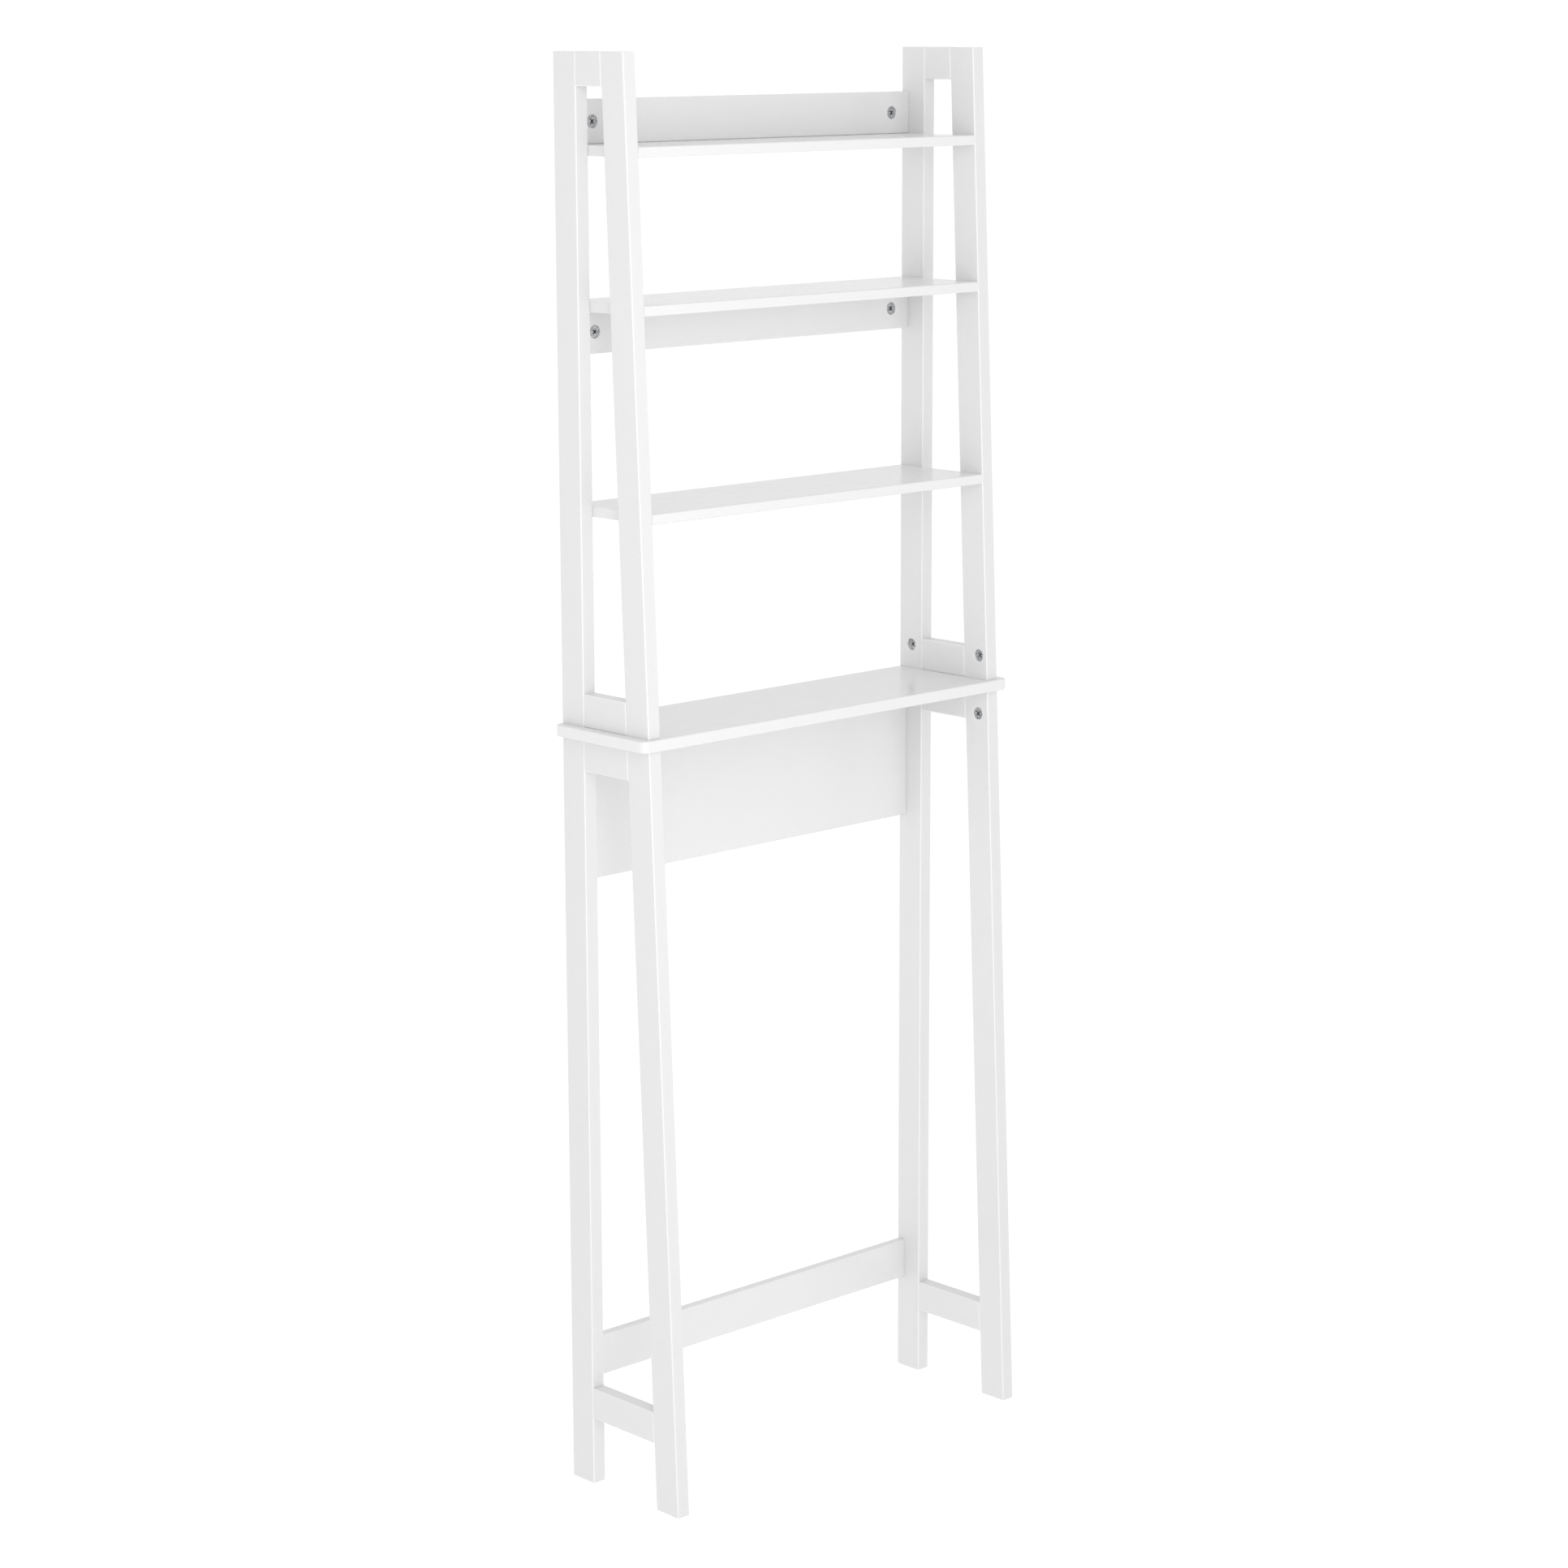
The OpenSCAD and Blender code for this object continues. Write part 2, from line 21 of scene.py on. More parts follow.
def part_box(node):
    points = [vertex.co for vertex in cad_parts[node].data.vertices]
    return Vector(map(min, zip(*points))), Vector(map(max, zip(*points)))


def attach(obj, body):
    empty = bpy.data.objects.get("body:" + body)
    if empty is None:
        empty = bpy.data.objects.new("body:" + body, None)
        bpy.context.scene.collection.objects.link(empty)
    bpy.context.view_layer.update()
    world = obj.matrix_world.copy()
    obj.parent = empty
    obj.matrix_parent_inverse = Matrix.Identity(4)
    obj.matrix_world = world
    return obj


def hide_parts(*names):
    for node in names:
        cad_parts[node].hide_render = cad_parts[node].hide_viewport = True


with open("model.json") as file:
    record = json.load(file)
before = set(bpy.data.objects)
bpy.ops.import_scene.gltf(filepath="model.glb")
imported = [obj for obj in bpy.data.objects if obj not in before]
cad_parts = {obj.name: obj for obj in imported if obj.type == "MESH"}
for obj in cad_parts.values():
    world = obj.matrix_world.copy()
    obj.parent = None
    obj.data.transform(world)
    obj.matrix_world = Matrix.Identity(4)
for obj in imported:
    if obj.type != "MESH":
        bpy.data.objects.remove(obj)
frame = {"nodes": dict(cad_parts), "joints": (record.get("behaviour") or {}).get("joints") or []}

MM = 0.001
ROOT_BODY = "shelf"
PAINTED = "painted_wood"
THREAD_LENGTH = 11.0 * MM
UP = Vector((0.0, 0.0, 1.0))
SIDEWAYS = Vector((1.0, 0.0, 0.0))
WHITE = (1.0, 1.0, 1.0, 1.0)

# Edges over the first angle are shaded sharp, and those over the second are rounded.
SMOOTH_ANGLE = math.radians(32.0)
SQUARE_ANGLE = math.radians(50.0)
FULL_WEIGHT = 100
END_STEPS = 3

# Face attribute that marks the rounded edges for the painted edge highlight, and how nearly a flat
# face is square to an axis.
EDGE_HIGHLIGHT_MASK = "eased"
FLAT_COSINE = 0.99

# Distances within which points are one, belong to one end of a rod, or have one radius.
MERGE = 1e-7
ISLAND_MERGE = 1e-6
END_BAND = 0.1 * MM
SAME_RADIUS = 0.01 * MM
DIGITS = 5

# Sockets of a colour Mix node, whose names aren't unique.
MIX_SHARE, MIX_FIRST, MIX_SECOND, MIX_COLOUR = 0, 6, 7, 2

log = logging.getLogger("ladder_shelf")


class Grain(Enum):
    """Direction that a member's wood runs in."""

    ACROSS = (1.0, 0.0, 0.0)
    DEEP = (0.0, 1.0, 0.0)
    UPRIGHT = (0.0, 0.0, 1.0)

    def stretch(self, across_mm: float, along_mm: float) -> list[float]:
        """Scale of a pattern whose marks have this width, and this length along the grain."""
        return [1.0 / ((along_mm if along else across_mm) * MM) for along in self.value]


class Toward(Enum):
    """Direction from a cam lock's centre to the joint that it pulls tight."""

    LEFT = (-1.0, 0.0, 0.0)
    RIGHT = (1.0, 0.0, 0.0)
    DOWN = (0.0, 0.0, -1.0)
    UP = (0.0, 0.0, 1.0)


THREADED_BOLTS = ("rail_bolts", "panel_bolts", "rear_deck_bolts")
DOUBLE_BOLTS = "front_deck_bolts"
DOWEL_GRAINS = {"frame_dowels": Grain.DEEP, "shelf_dowels": Grain.ACROSS,
                "rail_dowels": Grain.ACROSS, "deck_dowels": Grain.UPRIGHT}


# Shared helpers ---------------------------------------------------------------------------


def linear(hex_colour: str) -> tuple[float, float, float, float]:
    """Turn an sRGB hex colour into linear light.

    Args:
        hex_colour: Six hex digits, such as "F2F2F0".

    Returns:
        Red, green, blue and an alpha of 1.
    """
    parts = [int(hex_colour[i:i + 2], 16) / 255.0 for i in (0, 2, 4)]
    r, g, b = (c / 12.92 if c <= 0.04045 else ((c + 0.055) / 1.055) ** 2.4 for c in parts)
    return (r, g, b, 1.0)


def add_node(tree: NodeTree, kind: str, inputs: dict | None = None,
             **settings: object) -> Node:
    """Add a node with its settings, and set or link its inputs.

    Args:
        tree: Tree that gets the node.
        kind: The node's type name.
        inputs: Input name or number to a value, or to an output socket that is linked to it.
        **settings: Properties of the node.

    Returns:
        The new node.
    """
    node = tree.nodes.new(kind)
    for key, value in settings.items():
        setattr(node, key, value)
    for key, value in (inputs or {}).items():
        socket = node.inputs[key]
        if isinstance(value, NodeSocket):
            tree.links.new(value, socket)
        else:
            socket.default_value = value
    return node


def object_pattern(tree: NodeTree, scale: Sequence[float] = (1.0, 1.0, 1.0)) -> NodeSocket:
    """Object coordinates, scaled.

    Args:
        tree: The material's tree.
        scale: Scale along X, Y and Z.

    Returns:
        The mapped vector.
    """
    place = add_node(tree, "ShaderNodeTexCoord")
    mapping = add_node(tree, "ShaderNodeMapping", {
        "Vector": place.outputs["Object"], "Scale": tuple(scale)})
    return mapping.outputs["Vector"]


def eased_outline(width: float, height: float, radius: float,
                  steps: int) -> list[tuple[float, float]]:
    """Rectangle from the origin with round corners, anticlockwise.

    Args:
        width: Size along the first axis.
        height: Size along the second axis.
        radius: Corner radius.
        steps: Flat steps in each quarter of a circle.

    Returns:
        The outline's points.
    """
    corners = ((width - radius, radius, -90), (width - radius, height - radius, 0),
               (radius, height - radius, 90), (radius, radius, 180))
    points = []
    for cx, cy, start in corners:
        for i in range(steps + 1):
            a = math.radians(start + 90.0 * i / steps)
            points.append((cx + radius * math.cos(a), cy + radius * math.sin(a)))
    return points


def linked(name: str, data: ID) -> Object:
    """Make an object at the origin and link it to the scene.

    Args:
        name: The object's name.
        data: Its mesh, light or camera data.

    Returns:
        The new object.
    """
    obj = bpy.data.objects.new(name, data)
    bpy.context.scene.collection.objects.link(obj)
    return obj


def mesh_object(name: str, bm: BMesh) -> Object:
    """Make a linked object from a bmesh, with its faces pointing outwards.

    Args:
        name: Name of the object and its mesh.
        bm: The mesh, which is freed.

    Returns:
        The new object, at the origin.
    """
    bmesh.ops.remove_doubles(bm, verts=bm.verts, dist=MERGE)
    bmesh.ops.recalc_face_normals(bm, faces=bm.faces)
    mesh = bpy.data.meshes.new(name)
    bm.to_mesh(mesh)
    bm.free()
    return linked(name, mesh)


def sweep(name: str, start: Sequence[Vector], end: Sequence[Vector]) -> Object:
    """Closed solid between two outlines that have the same number of points.

    Args:
        name: The object's name.
        start: Points of the first end.
        end: Points of the other end.

    Returns:
        The new object.
    """
    bm = bmesh.new()
    first = [bm.verts.new(p) for p in start]
    last = [bm.verts.new(p) for p in end]
    bm.faces.new(first)
    bm.faces.new(list(reversed(last)))
    for i in range(len(first)):
        j = (i + 1) % len(first)
        bm.faces.new((first[i], first[j], last[j], last[i]))
    return mesh_object(name, bm)


def lathe(name: str, profile: Sequence[tuple[float, float]], segments: int) -> Object:
    """Solid of revolution about Z.

    Args:
        name: The object's name.
        profile: Radius and height of each point, from the axis back to the axis.
        segments: Flat steps round the axis.

    Returns:
        The new object.
    """
    bm = bmesh.new()
    rings = []
    for radius, z in profile:
        if radius < MERGE:
            rings.append([bm.verts.new((0.0, 0.0, z))])
            continue
        turns = [2.0 * math.pi * i / segments for i in range(segments)]
        rings.append([bm.verts.new((radius * math.cos(a), radius * math.sin(a), z)) for a in turns])
    for low, high in zip(rings, rings[1:]):
        for i in range(segments):
            j = (i + 1) % segments
            corners = list(dict.fromkeys((low[i % len(low)], low[j % len(low)],
                                          high[j % len(high)], high[i % len(high)])))
            if len(corners) > 2:
                bm.faces.new(corners)
    return mesh_object(name, bm)


def drum(name: str, radius: float, low: float, high: float, segments: int) -> Object:
    """Closed cylinder about Z between two heights."""
    return lathe(name, ((0.0, low), (radius, low), (radius, high), (0.0, high)), segments)


def remove(*objects: Object) -> None:
    """Delete helper objects and their meshes.

    Args:
        *objects: The helpers.
    """
    for obj in objects:
        data = obj.data
        bpy.data.objects.remove(obj)
        if isinstance(data, Mesh) and data.users == 0:
            bpy.data.meshes.remove(data)


def settle(obj: Object) -> Object:
    """Turn an object's modifiers into plain mesh, and take the modifiers off.

    Args:
        obj: The object, changed in place.

    Returns:
        The same object.
    """
    bpy.context.view_layer.update()
    graph = bpy.context.evaluated_depsgraph_get()
    mesh = bpy.data.meshes.new_from_object(obj.evaluated_get(graph))
    mesh.name = obj.name
    old = obj.data
    obj.modifiers.clear()
    obj.data = mesh
    bpy.data.meshes.remove(old)
    return obj


def cut(obj: Object, cutters: Iterable[Object]) -> Object:
    """Take cutting solids out of an object, and delete them.

    Args:
        obj: The object that is cut.
        cutters: Closed solids.

    Returns:
        The cut object.
    """
    cutters = list(cutters)
    for cutter in cutters:
        step = obj.modifiers.new(cutter.name, "BOOLEAN")
        step.operation = "DIFFERENCE"
        step.solver = "EXACT"
        step.object = cutter
    settle(obj)
    remove(*cutters)
    return obj


def ease_ends(obj: Object, radius: float) -> Object:
    """Round the edges that are still square.

    Args:
        obj: The object.
        radius: Width of the rounding.

    Returns:
        The object, with plain mesh.
    """
    step = obj.modifiers.new("ease", "BEVEL")
    step.width = radius
    step.segments = END_STEPS
    step.limit_method = "ANGLE"
    step.angle_limit = SQUARE_ANGLE
    return settle(obj)


def smooth(obj: Object) -> Object:
    """Smooth shading over the round parts, with flat faces kept flat.

    Args:
        obj: The object, changed in place.

    Returns:
        The same object.
    """
    mesh = obj.data
    mesh.polygons.foreach_set("use_smooth", [True] * len(mesh.polygons))
    mesh.set_sharp_from_angle(angle=SMOOTH_ANGLE)
    step = obj.modifiers.new("weighted", "WEIGHTED_NORMAL")
    step.keep_sharp = True
    step.weight = FULL_WEIGHT
    return settle(obj)


def mark_highlight_edges(obj: Object) -> Object:
    """Mark the faces that belong to rounded edges, where the finish paints a highlight.

    Args:
        obj: An object whose flat faces lie nearly square to the axes.

    Returns:
        The object, with a face attribute of 0 or 1.
    """
    mark = obj.data.attributes.new(EDGE_HIGHLIGHT_MASK, "FLOAT", "FACE")
    for face, item in zip(obj.data.polygons, mark.data):
        item.value = float(max(abs(part) for part in face.normal) < FLAT_COSINE)
    return obj


def square_to(normal: Vector) -> Vector:
    """Unit axis that is square to an axis."""
    return UP if abs(normal.dot(UP)) < 0.5 else SIDEWAYS


def turn_to(normal: Vector, aim: Vector, origin: Vector) -> Matrix:
    """Matrix that turns +Z to a normal and +X to an aim, and moves the origin.

    Args:
        normal: Unit vector for +Z.
        aim: Unit vector for +X, square to the normal.
        origin: Place of the origin.

    Returns:
        The matrix.
    """
    side = normal.cross(aim)
    turn = Matrix((aim, side, normal)).transposed().to_4x4()
    return Matrix.Translation(origin) @ turn


def hand_in(piece: Object, body: str, slot: str, material: Material | None,
            *nodes: str) -> None:
    """Dress a finished piece, put it on its body and let it stand for its CAD nodes.

    Args:
        piece: The piece, at the origin with plain mesh.
        body: Name of the body that it rides on.
        slot: The record's material slot; not used.
        material: The piece's material, or None to keep those it has.
        *nodes: CAD nodes that it replaces.
    """
    if material is not None:
        piece.data.materials.clear()
        piece.data.materials.append(material)
    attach(piece, body)
    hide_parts(*nodes)
    log.info("%s: %d faces, on %s", piece.name, len(piece.data.polygons), body)


# Finishes ---------------------------------------------------------------------------------


class Finish:
    """Base of the finishes: turns a finish's shader into a material."""

    name: str

    def shader(self, tree: NodeTree) -> Node:
        """Make the finish's shader and all that feeds it.

        Args:
            tree: The material's tree.

        Returns:
            The shader node.
        """
        raise NotImplementedError

    def build(self) -> Material:
        """Make the material.

        Returns:
            The material, with its nodes.
        """
        material = bpy.data.materials.new(self.name)
        material.use_nodes = True
        tree = material.node_tree
        tree.nodes.clear()
        add_node(tree, "ShaderNodeOutputMaterial", {"Surface": self.shader(tree).outputs["BSDF"]})
        return material


@dataclass(frozen=True)
class WhiteLacquer(Finish):
    """Sprayed white furniture lacquer over sanded wood.

    The film is smooth and half glossy. Up close it has a fine orange peel, and over wood its
    gloss varies a little along the grain. Rounded edges of wood get a painted highlight: a
    lighter colour that stands in for the light they catch.
    """

    name: str
    grain: Grain | None
    colour: str = "E2E2E2"
    shade: str = "E0E0E0"
    # Colour of the painted highlight on rounded edges.
    edge: str = "EEEEEE"
    roughness: float = 0.3
    roughness_spread: float = 0.06
    ior: float = 1.5
    peel_mm: float = 1.6
    peel_height_mm: float = 0.003
    lay_mm: float = 26.0
    lay_height_mm: float = 0.02
    grain_width_mm: float = 2.2
    grain_length_mm: float = 90.0

    def shader(self, tree: NodeTree) -> Node:
        """Make the shader and its patterns.

        Args:
            tree: The material's tree.

        Returns:
            The shader node.
        """
        even = object_pattern(tree)
        peel = add_node(tree, "ShaderNodeTexNoise", {
            "Vector": even, "Scale": 1.0 / (self.peel_mm * MM), "Detail": 1.0, "Roughness": 0.4})
        lay = add_node(tree, "ShaderNodeTexNoise", {
            "Vector": even, "Scale": 1.0 / (self.lay_mm * MM), "Detail": 2.0, "Roughness": 0.45})
        tone = add_node(tree, "ShaderNodeMix", {
            MIX_SHARE: lay.outputs["Fac"], MIX_FIRST: linear(self.shade),
            MIX_SECOND: linear(self.colour)}, data_type="RGBA")
        # Painted highlight: faces of rounded edges take the lighter edge colour, for the light they
        # catch.
        eased = add_node(tree, "ShaderNodeAttribute", attribute_name=EDGE_HIGHLIGHT_MASK)
        paint = add_node(tree, "ShaderNodeMix", {
            MIX_SHARE: eased.outputs["Fac"], MIX_FIRST: tone.outputs[MIX_COLOUR],
            MIX_SECOND: linear(self.edge)}, data_type="RGBA")
        sheen = lay
        if self.grain is not None:
            stretch = self.grain.stretch(self.grain_width_mm, self.grain_length_mm)
            sheen = add_node(tree, "ShaderNodeTexNoise", {
                "Vector": object_pattern(tree, stretch), "Scale": 1.0, "Detail": 2.0,
                "Roughness": 0.5})
        gloss = add_node(tree, "ShaderNodeMapRange", {
            "Value": sheen.outputs["Fac"], "From Min": 0.2, "From Max": 0.8,
            "To Min": self.roughness - self.roughness_spread / 2,
            "To Max": self.roughness + self.roughness_spread / 2})
        lay_bump = add_node(tree, "ShaderNodeBump", {
            "Height": lay.outputs["Fac"], "Distance": self.lay_height_mm * MM, "Strength": 1.0})
        peel_bump = add_node(tree, "ShaderNodeBump", {
            "Height": peel.outputs["Fac"], "Distance": self.peel_height_mm * MM, "Strength": 1.0,
            "Normal": lay_bump.outputs["Normal"]})
        return add_node(tree, "ShaderNodeBsdfPrincipled", {
            "Base Color": paint.outputs[MIX_COLOUR], "Roughness": gloss.outputs["Result"],
            "IOR": self.ior, "Normal": peel_bump.outputs["Normal"]})


@dataclass(frozen=True)
class DieCastZinc(Finish):
    """Die-cast zinc alloy, tumbled and dull: light grey with a grainy skin and darker spots."""

    name: str
    colour: str = "C9CACC"
    spot: str = "8E8F92"
    roughness: float = 0.4
    cast_grain_mm: float = 0.35
    cast_height_mm: float = 0.02
    spot_mm: float = 1.8
    blend: tuple[float, float] = (0.35, 0.62)

    def shader(self, tree: NodeTree) -> Node:
        """Make the shader and its patterns.

        Args:
            tree: The material's tree.

        Returns:
            The shader node.
        """
        even = object_pattern(tree)
        cast = add_node(tree, "ShaderNodeTexNoise", {
            "Vector": even, "Scale": 1.0 / (self.cast_grain_mm * MM), "Detail": 2.0})
        spots = add_node(tree, "ShaderNodeTexNoise", {
            "Vector": even, "Scale": 1.0 / (self.spot_mm * MM), "Detail": 3.0, "Roughness": 0.6})
        ramp = add_node(tree, "ShaderNodeValToRGB", {"Fac": spots.outputs["Fac"]})
        tones = (self.spot, self.colour)
        for stop, place, tone in zip(ramp.color_ramp.elements, self.blend, tones):
            stop.position, stop.color = place, linear(tone)
        bump = add_node(tree, "ShaderNodeBump", {
            "Height": cast.outputs["Fac"], "Distance": self.cast_height_mm * MM, "Strength": 1.0})
        return add_node(tree, "ShaderNodeBsdfPrincipled", {
            "Base Color": ramp.outputs["Color"], "Metallic": 1.0, "Roughness": self.roughness,
            "Normal": bump.outputs["Normal"]})


@dataclass(frozen=True)
class PlatedSteel(Finish):
    """Turned steel with a bright zinc plating: slightly blue, with finely uneven gloss."""

    name: str
    colour: str = "C3C6CA"
    smoothest: float = 0.2
    dullest: float = 0.38
    mark_mm: float = 0.25

    def shader(self, tree: NodeTree) -> Node:
        """Make the shader and its patterns.

        Args:
            tree: The material's tree.

        Returns:
            The shader node.
        """
        even = object_pattern(tree)
        marks = add_node(tree, "ShaderNodeTexNoise", {
            "Vector": even, "Scale": 1.0 / (self.mark_mm * MM), "Detail": 2.0})
        gloss = add_node(tree, "ShaderNodeMapRange", {
            "Value": marks.outputs["Fac"], "To Min": self.smoothest, "To Max": self.dullest})
        return add_node(tree, "ShaderNodeBsdfPrincipled", {
            "Base Color": linear(self.colour), "Metallic": 1.0,
            "Roughness": gloss.outputs["Result"]})


@dataclass(frozen=True)
class BareBeech(Finish):
    """Bare beech rod: warm, dry wood with short dark flecks along the grain."""

    name: str
    grain: Grain
    colour: str = "DDBE93"
    fleck: str = "B58F63"
    roughness: float = 0.62
    ior: float = 1.5
    fleck_mm: float = 0.6
    fleck_length_mm: float = 4.0
    fleck_depth_mm: float = 0.03
    blend: tuple[float, float] = (0.38, 0.55)

    def shader(self, tree: NodeTree) -> Node:
        """Make the shader and its patterns.

        Args:
            tree: The material's tree.

        Returns:
            The shader node.
        """
        stretch = self.grain.stretch(self.fleck_mm, self.fleck_length_mm)
        fleck = add_node(tree, "ShaderNodeTexNoise", {
            "Vector": object_pattern(tree, stretch), "Scale": 1.0, "Detail": 4.0})
        ramp = add_node(tree, "ShaderNodeValToRGB", {"Fac": fleck.outputs["Fac"]})
        tones = (self.fleck, self.colour)
        for stop, place, tone in zip(ramp.color_ramp.elements, self.blend, tones):
            stop.position, stop.color = place, linear(tone)
        bump = add_node(tree, "ShaderNodeBump", {
            "Height": fleck.outputs["Fac"], "Distance": self.fleck_depth_mm * MM, "Strength": 1.0})
        return add_node(tree, "ShaderNodeBsdfPrincipled", {
            "Base Color": ramp.outputs["Color"], "Roughness": self.roughness, "IOR": self.ior,
            "Normal": bump.outputs["Normal"]})


@dataclass(frozen=True)
class LitTable(Finish):
    """White translucent shooting table, lit a little from below, so that the floor stays white."""

    name: str
    colour: str = "F4F4F4"
    roughness: float = 0.9
    ior: float = 1.4
    glow: float = 0.28

    def shader(self, tree: NodeTree) -> Node:
        """Make the shader.

        Args:
            tree: The material's tree.

        Returns:
            The shader node.
        """
        return add_node(tree, "ShaderNodeBsdfPrincipled", {
            "Base Color": linear(self.colour), "Roughness": self.roughness, "IOR": self.ior,
            "Emission Color": WHITE, "Emission Strength": self.glow})


# Studio -----------------------------------------------------------------------------------


@dataclass(frozen=True)
class Softbox:
    """Rectangular soft light, which the camera doesn't see."""

    name: str
    place: tuple[float, float, float]
    aim: tuple[float, float, float]
    width: float
    height: float
    watts: float

    def build(self) -> None:
        """Make the light."""
        data = bpy.data.lights.new(self.name, "AREA")
        data.shape = "RECTANGLE"
        data.size, data.size_y = self.width, self.height
        data.energy = self.watts
        light = linked(self.name, data)
        light.location = self.place
        light.visible_camera = False
        ahead = Vector(self.aim) - Vector(self.place)
        light.rotation_euler = ahead.to_track_quat("-Z", "Y").to_euler()


@dataclass
class Studio:
    """Camera, lights and floor."""

    rear_y: float
    azimuth_deg: float = -43.40
    pitch_deg: float = 11.645
    roll_deg: float = -0.157
    distance: float = 4.652
    aim_x: float = 0.0675
    aim_z: float = 0.8068
    lens_mm: float = 86.35
    sensor_mm: float = 36.0
    clip_end: float = 100.0
    floor_size: float = 60.0
    horizon: float = 1.03
    zenith: float = 0.8
    haze: float = 0.3
    softboxes: Sequence[Softbox] = (
        Softbox("key_softbox", (-0.95, -1.15, 1.45), (0.0, 0.0, 1.35), 0.6, 2.1, 7.4),
        Softbox("fill_softbox", (-1.2, -3.0, 2.5), (0.0, 0.0, 1.2), 1.4, 1.4, 2.5))

    def camera(self) -> Object:
        """Make the camera, and make it the scene's.

        Returns:
            The camera.
        """
        azimuth, pitch = math.radians(self.azimuth_deg), math.radians(self.pitch_deg)
        roll = math.radians(self.roll_deg)
        level = Vector((-math.sin(azimuth), math.cos(azimuth), 0.0))
        ahead = level * math.cos(pitch) - UP * math.sin(pitch)
        right = Vector((math.cos(azimuth), math.sin(azimuth), 0.0))
        up = right.cross(ahead)
        x_axis = right * math.cos(roll) + up * math.sin(roll)
        y_axis = up * math.cos(roll) - right * math.sin(roll)
        aim = Vector((self.aim_x, self.rear_y, self.aim_z))
        data = bpy.data.cameras.new("camera")
        data.lens = self.lens_mm
        data.sensor_width = self.sensor_mm
        data.clip_end = self.clip_end
        camera = linked("camera", data)
        turn = Matrix((x_axis, y_axis, -ahead)).transposed().to_4x4()
        camera.matrix_world = Matrix.Translation(aim - ahead * self.distance) @ turn
        bpy.context.scene.camera = camera
        return camera

    def floor(self) -> Object:
        """Make the floor, which isn't part of the object.

        Returns:
            The floor.
        """
        half = self.floor_size / 2
        bm = bmesh.new()
        corners = ((-half, -half), (half, -half), (half, half), (-half, half))
        bm.faces.new([bm.verts.new((x, y, 0.0)) for x, y in corners])
        floor = mesh_object("studio_floor", bm)
        floor.data.materials.append(LitTable("white_shooting_table").build())
        return floor

    def lights(self) -> None:
        """Set the light: a white surround that is dimmer overhead, and the softboxes."""
        world = bpy.data.worlds.new("studio")
        bpy.context.scene.world = world
        world.use_nodes = True
        tree = world.node_tree
        tree.nodes.clear()
        look = add_node(tree, "ShaderNodeNewGeometry")
        split = add_node(tree, "ShaderNodeSeparateXYZ", {"Vector": look.outputs["Position"]})
        level = add_node(tree, "ShaderNodeMapRange", {
            "Value": split.outputs["Z"], "From Min": 0.0, "From Max": self.haze,
            "To Min": self.horizon, "To Max": self.zenith})
        back = add_node(tree, "ShaderNodeBackground", {
            "Color": WHITE, "Strength": level.outputs["Result"]})
        add_node(tree, "ShaderNodeOutputWorld", {"Surface": back.outputs["Background"]})
        for softbox in self.softboxes:
            softbox.build()
        bpy.context.scene.view_settings.view_transform = "Standard"
        bpy.context.scene.view_settings.look = "None"

    def build(self) -> None:
        """Make the whole studio, camera first."""
        self.camera()
        self.floor()
        self.lights()


# Boards -----------------------------------------------------------------------------------


def islands(node: str) -> list[list[Vector]]:
    """Corner points of each separate solid in a CAD node.

    Args:
        node: The CAD node's name.

    Returns:
        One list of points for each solid.
    """
    bm = bmesh.new()
    bm.from_mesh(frame["nodes"][node].data)
    bmesh.ops.remove_doubles(bm, verts=bm.verts, dist=ISLAND_MERGE)
    left, found = set(bm.verts), []
    while left:
        group, queue = [], [left.pop()]
        while queue:
            vert = queue.pop()
            group.append(vert.co.copy())
            for edge in vert.link_edges:
                other = edge.other_vert(vert)
                if other in left:
                    left.remove(other)
                    queue.append(other)
        found.append(group)
    bm.free()
    return sorted(found, key=lambda g: tuple(round(v, DIGITS) for v in sum(g, Vector()) / len(g)))


@dataclass(frozen=True)
class Rod:
    """Place of one round fastening: its two ends, from the head or first end."""

    start: Vector
    end: Vector

    @property
    def length(self) -> float:
        """Length of the fastening."""
        return (self.end - self.start).length

    @property
    def aim(self) -> Vector:
        """Unit vector from start to end."""
        return (self.end - self.start).normalized()


def rods_in(node: str) -> list[Rod]:
    """Find the round fastenings in a CAD node, each from its thicker end to its thinner end.

    Args:
        node: The CAD node's name.

    Returns:
        One rod for each solid.
    """
    rods = []
    for points in islands(node):
        low = Vector(min(p[i] for p in points) for i in range(3))
        high = Vector(max(p[i] for p in points) for i in range(3))
        axis = max(range(3), key=lambda i: high[i] - low[i])
        middle = (low + high) / 2
        ends = []
        for at in (low[axis], high[axis]):
            place = middle.copy()
            place[axis] = at
            near = [(p - place).length for p in points if abs(p[axis] - at) < END_BAND]
            ends.append((max(near), place))
        if ends[0][0] < ends[1][0] - SAME_RADIUS:
            ends.reverse()
        rods.append(Rod(ends[0][1], ends[1][1]))
    return rods


@dataclass(frozen=True)
class Bore:
    """Round hole that a fastening runs through, across one joint."""

    start: Vector
    end: Vector
    radius: float
    segments: int = 32

    def meets(self, low: Vector, high: Vector) -> bool:
        """Whether the hole may run into a board with this box."""
        return all(min(self.start[i], self.end[i]) - self.radius < high[i]
                   and max(self.start[i], self.end[i]) + self.radius > low[i] for i in range(3))

    def cutter(self, name: str) -> Object:
        """Make the cutting solid.

        Args:
            name: The solid's name.

        Returns:
            The cutting solid.
        """
        run = self.end - self.start
        aim = run.normalized()
        solid = drum(name, self.radius, 0.0, run.length, self.segments)
        solid.data.transform(turn_to(aim, square_to(aim), self.start))
        return solid


